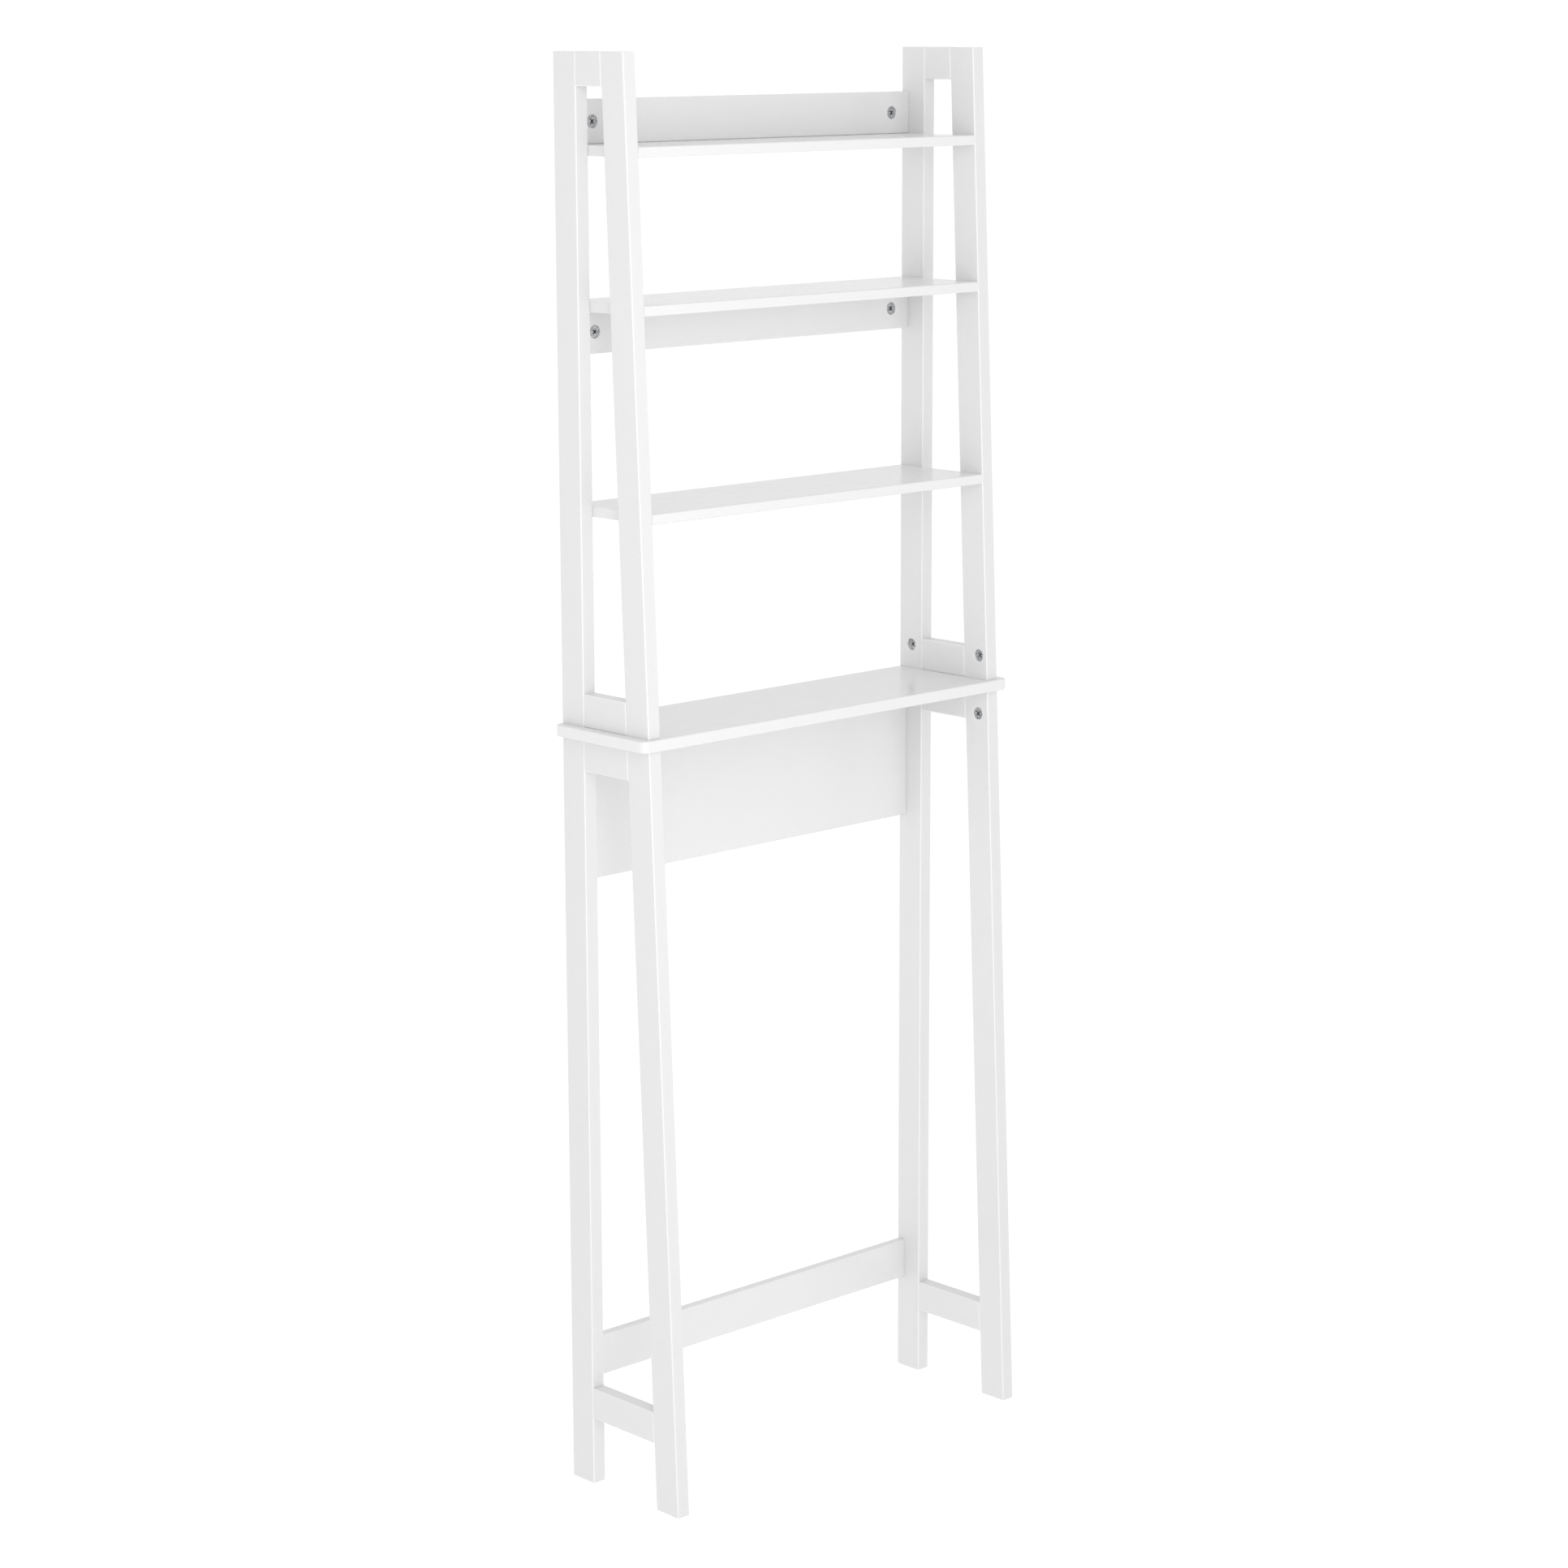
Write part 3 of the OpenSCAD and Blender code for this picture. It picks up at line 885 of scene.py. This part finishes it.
@dataclass
class DrillPlan:
    """Holes for all the bolts and dowels, found from where they lie in the frame."""

    channel_r: float = 3.55 * MM
    thread_r: float = 2.55 * MM
    dowel_r: float = 3.05 * MM
    end_gap: float = 0.5 * MM
    lap: float = 1.0 * MM

    def dowel_bores(self, node: str) -> list[Bore]:
        """Holes for one group of dowels."""
        return [Bore(rod.start - rod.aim * self.end_gap, rod.end + rod.aim * self.end_gap,
                     self.dowel_r) for rod in rods_in(node)]

    def bolt_bores(self, node: str) -> list[Bore]:
        """Holes for one group of bolts: a channel from the cam lock, then a hole for the thread.

        Args:
            node: The bolts' CAD node.

        Returns:
            The holes.
        """
        bores = []
        for rod in rods_in(node):
            joint = rod.end - rod.aim * THREAD_LENGTH
            bores.append(Bore(rod.start, joint, self.channel_r))
            bores.append(Bore(joint - rod.aim * self.lap, rod.end + rod.aim * self.end_gap,
                              self.thread_r))
        return bores

    def bores(self) -> list[Bore]:
        """All the holes.

        Returns:
            Holes of every group, bolts first.
        """
        found = [Bore(rod.start, rod.end, self.channel_r) for rod in rods_in(DOUBLE_BOLTS)]
        for node in THREADED_BOLTS:
            found += self.bolt_bores(node)
        for node in DOWEL_GRAINS:
            found += self.dowel_bores(node)
        return found


@dataclass
class CamBore:
    """Round blind hole for a cam lock, with a rim that the paint has rounded."""

    radius: float = 7.5 * MM
    rim: float = 0.8 * MM
    past: float = 2.0 * MM
    steps: int = 5
    segments: int = 96

    def cutter(self, name: str, face: Vector, normal: Vector, depth: float) -> Object:
        """Make the cutting solid.

        Args:
            name: The solid's name.
            face: Centre of the hole's mouth.
            normal: Outward normal of the board's face.
            depth: Depth of the hole.

        Returns:
            The cutting solid.
        """
        wide = self.radius + self.rim
        turns = [math.radians(90.0 * i / self.steps) for i in range(self.steps + 1)]
        rim = [(wide - self.rim * math.cos(a), self.rim * (math.sin(a) - 1.0)) for a in turns]
        profile = [(0.0, -depth), (self.radius, -depth), *rim, (wide, self.past), (0.0, self.past)]
        solid = lathe(name, profile, self.segments)
        solid.data.transform(turn_to(normal, square_to(normal), face))
        return solid


@dataclass
class BoardMaker:
    """Makes the boards' meshes from their CAD boxes, with the holes for all the fastenings."""

    bore: CamBore
    edge: float = 1.5 * MM
    end_ease: float = 0.5 * MM
    joint_ease: float = 1.3 * MM
    steps: int = 6
    cams: dict[str, tuple[Vector, Vector, float]] = field(default_factory=dict)
    bores: Sequence[Bore] = ()

    def cutters(self, node: str, cams: Iterable[str]) -> list[Object]:
        """Cutting solids for the fastenings that sit in or run through a board.

        Args:
            node: The board's CAD node.
            cams: Cam locks that sit in it.

        Returns:
            The solids, cam locks first.
        """
        low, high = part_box(node)
        crossing = [bore for bore in self.bores if bore.meets(low, high)]
        return ([self.bore.cutter(f"{node}_{name}_bore", *self.cams[name]) for name in cams]
                + [bore.cutter(f"{node}_bore_{i}") for i, bore in enumerate(crossing)])

    def finish(self, board: Object, node: str, cams: Iterable[str],
               ease: float) -> Object:
        """Ease a blank's square ends, drill it and smooth it.

        Args:
            board: The blank.
            node: The CAD node that it stands for.
            cams: Cam locks that sit in it.
            ease: Width of the rounding at its ends.

        Returns:
            The finished board.
        """
        ease_ends(board, ease)
        cutters = self.cutters(node, cams)
        if cutters:
            cut(board, cutters)
        return smooth(board)

    def post(self, node: str, lean: float, width: float, cams: Iterable[str] = ()) -> Object:
        """Make an upright or leaning post.

        Args:
            node: The CAD node that it stands for.
            lean: How far the post moves back for each unit of height.
            width: Its width along Y.
            cams: Cam locks that sit in it.

        Returns:
            The finished piece.
        """
        low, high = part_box(node)
        outline = eased_outline(high.x - low.x, width, self.edge, self.steps)
        rise = high.z - low.z
        start = [Vector((low.x + u, low.y + v, low.z)) for u, v in outline]
        end = [Vector((low.x + u, low.y + v + lean * rise, high.z)) for u, v in outline]
        blank = sweep(f"{node}_painted", start, end)
        return mark_highlight_edges(self.finish(blank, node, cams, self.end_ease))

    def crossbar(self, node: str, lean: float) -> Object:
        """Make a crossbar whose front end follows the leaning post.

        Args:
            node: The CAD node that it stands for.
            lean: How far the front post moves back for each unit of height.

        Returns:
            The finished piece.
        """
        low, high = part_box(node)
        outline = eased_outline(high.x - low.x, high.z - low.z, self.edge, self.steps)
        start = [Vector((low.x + u, high.y, low.z + v)) for u, v in outline]
        end = [Vector((low.x + u, low.y + lean * v, low.z + v)) for u, v in outline]
        blank = sweep(f"{node}_painted", start, end)
        return mark_highlight_edges(self.finish(blank, node, (), self.joint_ease))

    def board(self, node: str, cams: Iterable[str] = ()) -> Object:
        """Make a shelf, rail or panel that runs across between the frames.

        Args:
            node: The CAD node that it stands for.
            cams: Cam locks that sit in it.

        Returns:
            The finished piece.
        """
        low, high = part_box(node)
        outline = eased_outline(high.y - low.y, high.z - low.z, self.edge, self.steps)
        blank = sweep(f"{node}_painted", *([Vector((x, low.y + u, low.z + v)) for u, v in outline]
                                           for x in (low.x, high.x)))
        return self.finish(blank, node, cams, self.end_ease)


@dataclass
class SideFrame:
    """One tier of one side frame: two posts and two crossbars."""

    side: str
    tier: str
    maker: BoardMaker
    upright: Material
    level: Material
    rear_cams: tuple[str, ...] = ()
    front_cams: tuple[str, ...] = ()

    def node(self, part: str) -> str:
        """Name of a member's CAD node."""
        return f"{self.side}_{self.tier}_{part}"

    def build(self) -> None:
        """Make the four members."""
        rear_low, rear_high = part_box(self.node("rear_post"))
        width = rear_high.y - rear_low.y
        low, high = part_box(self.node("front_post"))
        lean = (high.y - width - low.y) / (high.z - low.z)
        rear = self.maker.post(self.node("rear_post"), 0.0, width, self.rear_cams)
        front = self.maker.post(self.node("front_post"), lean, width, self.front_cams)
        for post, part in ((rear, "rear_post"), (front, "front_post")):
            hand_in(post, ROOT_BODY, PAINTED, self.upright, self.node(part))
        for part in ("top_crossbar", "bottom_crossbar"):
            bar = self.maker.crossbar(self.node(part), lean)
            hand_in(bar, ROOT_BODY, PAINTED, self.level, self.node(part))


@dataclass
class Deck:
    """Board between the tiers, with round corners and all its edges eased."""

    maker: BoardMaker
    material: Material
    corner: float = 9.0 * MM
    ease: float = 1.5 * MM
    steps: int = 16
    node: str = "deck"

    def build(self) -> None:
        """Make the deck."""
        low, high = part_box(self.node)
        outline = eased_outline(high.x - low.x, high.y - low.y, self.corner, self.steps)
        blank = sweep("deck_painted", *([Vector((low.x + u, low.y + v, z)) for u, v in outline]
                                        for z in (low.z, high.z)))
        deck = self.maker.finish(blank, self.node, (), self.ease)
        hand_in(deck, ROOT_BODY, PAINTED, self.material, self.node)


# Fastenings -------------------------------------------------------------------------------


@dataclass(frozen=True)
class CamSeat:
    """How a cam lock sits in its board: depths of the bolt's axis and of the lock's face."""

    bolt_depth: float
    recess: float


@dataclass
class CamLock:
    """Cam lock: a zinc disc with a driver cross, an arrow, a hollow inside and a slot in its wall.

    It is made with its face along +Z at the board's face and its bolt coming from +X.
    """

    seat: CamSeat
    radius: float = 7.42 * MM
    floor: float = 0.8 * MM
    wall: float = 1.2 * MM
    cavity_half: float = 3.55 * MM
    slot_half: float = 2.55 * MM
    rim: float = 0.35 * MM
    turn_deg: float = 180.0
    margin_deg: float = 27.0
    cross_width: float = 1.5 * MM
    cross_length: float = 7.2 * MM
    cross_taper: float = 0.5
    wing_width: float = 0.6 * MM
    wing_length: float = 5.0 * MM
    wing_depth: float = 0.4 * MM
    arrow_half: float = 1.6 * MM
    arrow_depth: float = 0.8 * MM
    arrow_edge: float = 0.9 * MM
    arrow_lap: float = 0.4 * MM
    dish: float = 0.25 * MM
    mouth_gap: float = 0.05 * MM
    past: float = 1.0 * MM
    segments: int = 96
    slot_steps: int = 12
    arm_turns: tuple[float, float] = (45.0, 135.0)
    wing_turn: float = 45.0

    @property
    def depth(self) -> float:
        """Depth of the lock's lowest point below the board's face."""
        return self.seat.bolt_depth + self.cavity_half + self.floor

    def body(self) -> Object:
        """Turned blank with a chamfered rim and a shallow dish in its face.

        Returns:
            The blank.
        """
        top, bottom, r = -self.seat.recess, -self.depth, self.radius
        return lathe("cam_blank", (
            (0.0, bottom), (r - self.rim, bottom), (r, bottom + self.rim), (r, top - self.rim),
            (r - self.rim, top), (r - 3 * self.rim, top), (r - 4 * self.rim, top - self.dish),
            (0.0, top - self.dish)), self.segments)

    def prism(self, name: str, outline: Sequence[tuple[float, float]], low: float,
              high: float) -> Object:
        """Make an upright cutting solid between two heights."""
        return sweep(name, *([Vector((x, y, z)) for x, y in outline] for z in (low, high)))

    def arm(self, name: str, length: float, width: float, bottom: float, taper: float,
            turn_deg: float) -> Object:
        """Make the cutting solid for one arm of the driver recess.

        Args:
            name: The solid's name.
            length: Length of the arm at the face.
            width: Width of the arm at the face.
            bottom: Height of the arm's bottom.
            taper: Size at the bottom as a share of the size at the face.
            turn_deg: Turn about the lock's axis.

        Returns:
            The cutting solid.
        """
        face = -self.seat.recess - self.dish
        turn = Matrix.Rotation(math.radians(turn_deg), 3, "Z")

        def outline(share: float, height: float) -> list[Vector]:
            """Corners of the arm at one height."""
            x, y = share * length / 2, share * width / 2
            return [turn @ Vector((a, b, height)) for a, b in ((-x, -y), (x, -y), (x, y), (-x, y))]

        rise = (1.0 - taper) * (self.seat.recess + self.dish) / (face - bottom)
        return sweep(name, outline(taper, bottom), outline(1.0 + rise, 0.0))

    def cutters(self) -> list[Object]:
        """Cutting solids for the hollow, the slot, the mouth and the driver recess.

        Returns:
            The solids.
        """
        cavity_r, mouth_r = self.radius - self.wall, self.cavity_half - self.mouth_gap
        bolt, wide = -self.seat.bolt_depth, 2 * self.radius
        low, high = bolt - self.cavity_half, bolt + self.cavity_half
        hollow = drum("cam_hollow", cavity_r, low, high, self.segments)
        start, stop = -self.turn_deg - self.margin_deg, self.margin_deg
        arc = [math.radians(start + (stop - start) * i / self.slot_steps)
               for i in range(self.slot_steps + 1)]
        fan = [(0.0, 0.0)] + [(wide * math.cos(a), wide * math.sin(a)) for a in arc]
        slot = self.prism("cam_slot", fan, bolt - self.slot_half, bolt + self.slot_half)
        mouth = drum("cam_mouth", mouth_r, 0.0, self.radius + self.past, self.segments // 2)
        mouth.data.transform(turn_to(-SIDEWAYS, UP, UP * bolt))
        solids = [hollow, slot, mouth]
        for turn in self.arm_turns:
            solids.append(self.arm(f"cam_cross_{turn:.0f}", self.cross_length, self.cross_width,
                                   high - self.past, self.cross_taper, turn))
            solids.append(self.arm(f"cam_wing_{turn:.0f}", self.wing_length, self.wing_width,
                                   -self.seat.recess - self.dish - self.wing_depth, 1.0,
                                   turn + self.wing_turn))
        tip, base = -self.radius + self.arrow_edge, -self.cross_length / 2 + self.arrow_lap
        arrow = [(tip, 0.0), (base, -self.arrow_half), (base, self.arrow_half)]
        bottom = -self.seat.recess - self.arrow_depth
        solids.append(self.prism("cam_arrow", arrow, bottom, self.past))
        return solids

    def build(self) -> Object:
        """Make the lock's pattern, which is copied to each station."""
        return smooth(cut(self.body(), self.cutters()))


@dataclass
class CamSet:
    """All cam locks: each one is a piece on its own body."""

    zinc: Material
    joints: dict[str, dict]
    seats: dict[str, CamSeat]
    toward: dict[str, Toward]
    floor_gap: float = 0.3 * MM

    def stations(self) -> dict[str, tuple[Vector, Vector, float]]:
        """Mouth, outward normal and hole depth of each cam lock."""
        return {name: (Vector(self.joints[name]["pos_m"]), Vector(self.joints[name]["axis"]),
                       CamLock(seat).depth + self.floor_gap) for name, seat in self.seats.items()}

    def build(self) -> None:
        """Make one pattern for each kind of seat and copy it to all its stations."""
        patterns = {seat: CamLock(seat).build() for seat in dict.fromkeys(self.seats.values())}
        for name, (face, normal, _) in self.stations().items():
            mesh = patterns[self.seats[name]].data.copy()
            mesh.transform(turn_to(normal, Vector(self.toward[name].value), face))
            hand_in(linked(f"{name}_zinc", mesh), name, "cam_zinc", self.zinc, name)
        remove(*patterns.values())


def new_tree(name: str, inputs: dict[str, object], output: str) -> tuple[NodeTree, Node]:
    """Make a Geometry Nodes tree with named inputs and one geometry output.

    Args:
        name: The tree's name.
        inputs: Input name to its socket type, or to the default value of a number.
        output: Name of the output.

    Returns:
        The tree and its input node.
    """
    kinds = {float: "NodeSocketFloat", int: "NodeSocketInt"}
    tree = bpy.data.node_groups.new(name, "GeometryNodeTree")
    for label, given in inputs.items():
        kind = kinds.get(type(given), given)
        socket = tree.interface.new_socket(label, in_out="INPUT", socket_type=kind)
        if kind != given:
            socket.default_value = given
    tree.interface.new_socket(output, in_out="OUTPUT", socket_type="NodeSocketGeometry")
    return tree, add_node(tree, "NodeGroupInput")


def send_out(tree: NodeTree, geometry: NodeSocket, finish: NodeSocket, output: str) -> None:
    """End a Geometry Nodes tree: make its geometry real, dress it and send it out.

    Args:
        tree: The tree.
        geometry: The geometry's socket.
        finish: The material's socket.
        output: Name of the output.
    """
    real = add_node(tree, "GeometryNodeRealizeInstances", {"Geometry": geometry})
    dressed = add_node(tree, "GeometryNodeSetMaterial", {
        "Geometry": real.outputs["Geometry"], "Material": finish})
    add_node(tree, "NodeGroupOutput", {output: dressed.outputs["Geometry"]})


def grow(obj: Object, tree: NodeTree, inputs: dict[str, object]) -> Object:
    """Run a Geometry Nodes tree on an object, and keep the result as plain mesh.

    Args:
        obj: The object, changed in place.
        tree: The tree.
        inputs: Input name to value.

    Returns:
        The same object.
    """
    step = obj.modifiers.new(tree.name, "NODES")
    step.node_group = tree
    sockets = {s.name: s.identifier for s in tree.interface.items_tree if s.in_out == "INPUT"}
    for name, value in inputs.items():
        step[sockets[name]] = value
    return settle(obj)


class CopyTree:
    """Geometry Nodes tree that puts a copy of one part on every point, aimed along an attribute."""

    AIM = "aim"

    def __init__(self) -> None:
        """Build the tree."""
        self.tree, inputs = new_tree("copies_on_points", {
            "Points": "NodeSocketGeometry", "Part": "NodeSocketObject",
            "Finish": "NodeSocketMaterial"}, "Copies")
        tree = self.tree
        part = add_node(tree, "GeometryNodeObjectInfo", {"Object": inputs.outputs["Part"]})
        aim = add_node(tree, "GeometryNodeInputNamedAttribute", {"Name": self.AIM},
                       data_type="FLOAT_VECTOR")
        turn = add_node(tree, "FunctionNodeAlignRotationToVector", {
            "Vector": aim.outputs["Attribute"]}, axis="Z")
        copies = add_node(tree, "GeometryNodeInstanceOnPoints", {
            "Points": inputs.outputs["Points"], "Instance": part.outputs["Geometry"],
            "Rotation": turn.outputs["Rotation"]})
        send_out(tree, copies.outputs["Instances"], inputs.outputs["Finish"], "Copies")

    def copies(self, name: str, rods: Sequence[Rod], part: Object,
               finish: Material) -> Object:
        """Put the part on every rod's start and make the result plain mesh.

        Args:
            name: Name of the new object.
            rods: Places and directions.
            part: The part, made along +Z from the origin.
            finish: The copies' material.

        Returns:
            The new object.
        """
        mesh = bpy.data.meshes.new(name)
        mesh.from_pydata([rod.start for rod in rods], [], [])
        aims = mesh.attributes.new(self.AIM, "FLOAT_VECTOR", "POINT")
        for item, rod in zip(aims.data, rods):
            item.vector = rod.aim
        return grow(linked(name, mesh), self.tree, {"Part": part, "Finish": finish})


class DowelTree:
    """Geometry Nodes tree for one fluted dowel along +Z, with chamfered ends."""

    RINGS = 41
    END_SIZE = 0.8

    def __init__(self) -> None:
        """Build the tree."""
        self.tree, inputs = new_tree("fluted_dowel", {
            "Geometry": "NodeSocketGeometry", "Radius": 3.0 * MM, "Length": 20.0 * MM,
            "Flute Depth": 0.25 * MM, "Chamfer": 0.8 * MM, "Flutes": 18,
            "Finish": "NodeSocketMaterial"}, "Dowel")
        tree, given = self.tree, inputs.outputs
        inner = add_node(tree, "ShaderNodeMath", {
            0: given["Radius"], 1: given["Flute Depth"]}, operation="SUBTRACT")
        star = add_node(tree, "GeometryNodeCurveStar", {
            "Points": given["Flutes"], "Inner Radius": inner.outputs["Value"],
            "Outer Radius": given["Radius"]})
        top = add_node(tree, "ShaderNodeCombineXYZ", {"Z": given["Length"]})
        line = add_node(tree, "GeometryNodeCurvePrimitiveLine", {"End": top.outputs["Vector"]})
        points = add_node(tree, "GeometryNodeResampleCurve", {
            "Curve": line.outputs["Curve"], "Count": self.RINGS})
        along = add_node(tree, "GeometryNodeSplineParameter").outputs["Length"]
        rest = add_node(tree, "ShaderNodeMath", {
            0: given["Length"], 1: along}, operation="SUBTRACT")
        near = add_node(tree, "ShaderNodeMath", {
            0: along, 1: rest.outputs["Value"]}, operation="MINIMUM")
        swell = add_node(tree, "ShaderNodeMapRange", {
            "Value": near.outputs["Value"], "From Min": 0.0, "From Max": given["Chamfer"],
            "To Min": self.END_SIZE, "To Max": 1.0})
        sized = add_node(tree, "GeometryNodeSetCurveRadius", {
            "Curve": points.outputs["Curve"], "Radius": swell.outputs["Result"]})
        rod = add_node(tree, "GeometryNodeCurveToMesh", {
            "Curve": sized.outputs["Curve"], "Profile Curve": star.outputs["Curve"],
            "Scale": swell.outputs["Result"], "Fill Caps": True})
        send_out(tree, rod.outputs["Mesh"], given["Finish"], "Dowel")

    def dowel(self, length: float, radius: float, finish: Material) -> Object:
        """Make one dowel as plain mesh.

        Args:
            length: Its length.
            radius: Its outer radius.
            finish: Its material.

        Returns:
            The dowel, along +Z from the origin.
        """
        blank = linked("dowel_pattern", bpy.data.meshes.new("dowel_pattern"))
        return grow(blank, self.tree, {"Length": length, "Radius": radius, "Finish": finish})


@dataclass
class Bolts:
    """Cam bolts: a head, a thin neck, a shank and a coarse thread."""

    steel: Material
    copier: CopyTree
    head_r: float = 3.2 * MM
    head_length: float = 3.0 * MM
    neck_r: float = 2.2 * MM
    neck_end: float = 6.9 * MM
    shank_r: float = 2.9 * MM
    thread_r: float = 2.5 * MM
    thread_depth: float = 0.5 * MM
    pitch: float = 1.6 * MM
    soft: float = 0.4 * MM
    tip_share: float = 0.6
    segments: int = 48

    def head(self) -> list[tuple[float, float]]:
        """Outline of the head and the neck, with a chamfered rim.

        Returns:
            Radius and height of each point.
        """
        soft, radius, length = self.soft, self.head_r, self.head_length
        return [(0.0, 0.0), (radius - soft, 0.0), (radius, soft), (radius, length - soft),
                (radius - soft, length), (self.neck_r, length), (self.neck_r, self.neck_end - soft),
                (self.shank_r, self.neck_end)]

    def threaded(self, length: float) -> Object:
        """Make a bolt that ends in a thread.

        Args:
            length: Its full length.

        Returns:
            The bolt, along +Z from its head.
        """
        start = length - THREAD_LENGTH
        outline = self.head() + [(self.shank_r, start), (self.thread_r - self.thread_depth, start)]
        turns = int(THREAD_LENGTH / self.pitch)
        for i in range(turns):
            z = start + i * self.pitch
            outline.append((self.thread_r, z + self.pitch / 2))
            outline.append((self.thread_r - self.thread_depth, z + self.pitch))
        outline += [(self.thread_r * self.tip_share, length), (0.0, length)]
        return smooth(lathe("bolt_pattern", outline, self.segments))

    def doubled(self, length: float) -> Object:
        """Make a bolt with a head at both ends.

        Args:
            length: Its full length.

        Returns:
            The bolt, along +Z.
        """
        outline = self.head()
        outline += [(r, length - z) for r, z in reversed(outline)]
        return smooth(lathe("bolt_pattern", outline, self.segments))

    def build(self, node: str, double: bool = False) -> None:
        """Make one group of bolts.

        Args:
            node: The CAD node that they stand for.
            double: Whether they have a head at both ends.
        """
        rods = rods_in(node)
        pattern = self.doubled(rods[0].length) if double else self.threaded(rods[0].length)
        piece = self.copier.copies(f"{node}_steel", rods, pattern, self.steel)
        hand_in(piece, ROOT_BODY, "bolt_steel", None, node)
        remove(pattern)


@dataclass
class Dowels:
    """Fluted wooden dowels, grouped as their CAD nodes are."""

    copier: CopyTree
    maker: DowelTree
    radius: float = 3.0 * MM

    def build(self, node: str, beech: Material) -> None:
        """Make one group of dowels, whatever lengths it has.

        Args:
            node: The CAD node that they stand for.
            beech: Their material, with its grain along them.
        """
        by_length: dict[float, list[Rod]] = {}
        for rod in rods_in(node):
            by_length.setdefault(round(rod.length, DIGITS), []).append(rod)
        parts = []
        for length, rods in sorted(by_length.items()):
            pattern = self.maker.dowel(length, self.radius, beech)
            parts.append(self.copier.copies(f"{node}_{length / MM:.0f}", rods, pattern, beech))
            remove(pattern)
        bm = bmesh.new()
        for part in parts:
            bm.from_mesh(part.data)
        piece = mesh_object(f"{node}_beech", bm)
        remove(*parts)
        hand_in(piece, ROOT_BODY, "dowel_beech", beech, node)


# The shelf --------------------------------------------------------------------------------


@dataclass
class LadderShelf:
    """The whole shelf."""

    boards: dict[str, tuple[str, ...]] = field(default_factory=lambda: {
        "top_shelf": (), "middle_shelf": (), "bottom_shelf": (),
        "top_rail": ("top_rail",), "middle_rail": ("middle_rail",), "lower_rail": ("lower_rail",),
        "back_panel": ("panel_end", "panel_deck")})
    recess: float = 0.4 * MM
    upper_recess: float = 3.0 * MM

    def cam_set(self) -> CamSet:
        """Describe the cam locks from the frame's joints and boards.

        Returns:
            The set of cam locks.
        """
        joints = {j["child"]: j for j in frame["joints"]}
        rail_low, rail_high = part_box("top_rail")
        post_low, post_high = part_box("left_upper_rear_post")
        in_rail, in_post = (rail_high.y - rail_low.y) / 2, (post_high.x - post_low.x) / 2
        rail, upper, lower = (CamSeat(depth, recess) for depth, recess in (
            (in_rail, self.recess), (in_post, self.upper_recess), (in_post, self.recess)))
        seats, toward = {}, {}
        for side, outwards in (("left", Toward.LEFT), ("right", Toward.RIGHT)):
            for name, seat, way in (
                    ("top_rail", rail, outwards), ("middle_rail", rail, outwards),
                    ("lower_rail", rail, outwards), ("panel_end", rail, outwards),
                    ("panel_deck", rail, Toward.UP), ("rear_post", upper, Toward.DOWN),
                    ("front_post", upper, Toward.DOWN), ("lower_post", lower, Toward.UP)):
                seats[f"{side}_{name}_cam"] = seat
                toward[f"{side}_{name}_cam"] = way
        return CamSet(DieCastZinc("die_cast_zinc").build(), joints, seats, toward)

    def build(self) -> None:
        """Make every sub-assembly."""
        # Painted light: the boards' lacquer is painted lighter (E7) than the posts' same paint
        # (E2), to lift their shaded faces.
        board = WhiteLacquer("white_lacquer_on_board", None, colour="E7E7E7", shade="E5E5E5",
                             roughness=0.17, roughness_spread=0.04).build()
        upright = WhiteLacquer("white_lacquer_on_posts", Grain.UPRIGHT).build()
        level = WhiteLacquer("white_lacquer_on_crossbars", Grain.DEEP).build()
        cams = self.cam_set()
        maker = BoardMaker(CamBore(), cams=cams.stations(), bores=DrillPlan().bores())
        for side in ("left", "right"):
            for tier, rear_cams, front_cams in (
                    ("upper", (f"{side}_rear_post_cam",), (f"{side}_front_post_cam",)),
                    ("lower", (), (f"{side}_lower_post_cam",))):
                SideFrame(side, tier, maker, upright, level, rear_cams, front_cams).build()
        Deck(maker, board).build()
        for node, kinds in self.boards.items():
            names = [f"{side}_{kind}_cam" for kind in kinds for side in ("left", "right")]
            hand_in(maker.board(node, names), ROOT_BODY, PAINTED, board, node)
        cams.build()
        copier = CopyTree()
        bolts = Bolts(PlatedSteel("zinc_plated_steel").build(), copier)
        for node in THREADED_BOLTS:
            bolts.build(node)
        bolts.build(DOUBLE_BOLTS, double=True)
        dowels = Dowels(copier, DowelTree())
        beech = {grain: BareBeech(f"bare_beech_{grain.name.lower()}", grain).build()
                 for grain in dict.fromkeys(DOWEL_GRAINS.values())}
        for node, grain in DOWEL_GRAINS.items():
            dowels.build(node, beech[grain])


def main() -> None:
    """Build the studio and the shelf."""
    logging.basicConfig(level=logging.INFO, format="%(name)s %(message)s")
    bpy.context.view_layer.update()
    rear_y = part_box("deck")[1].y
    Studio(rear_y).build()
    LadderShelf().build()


if __name__ == "__main__":
    main()
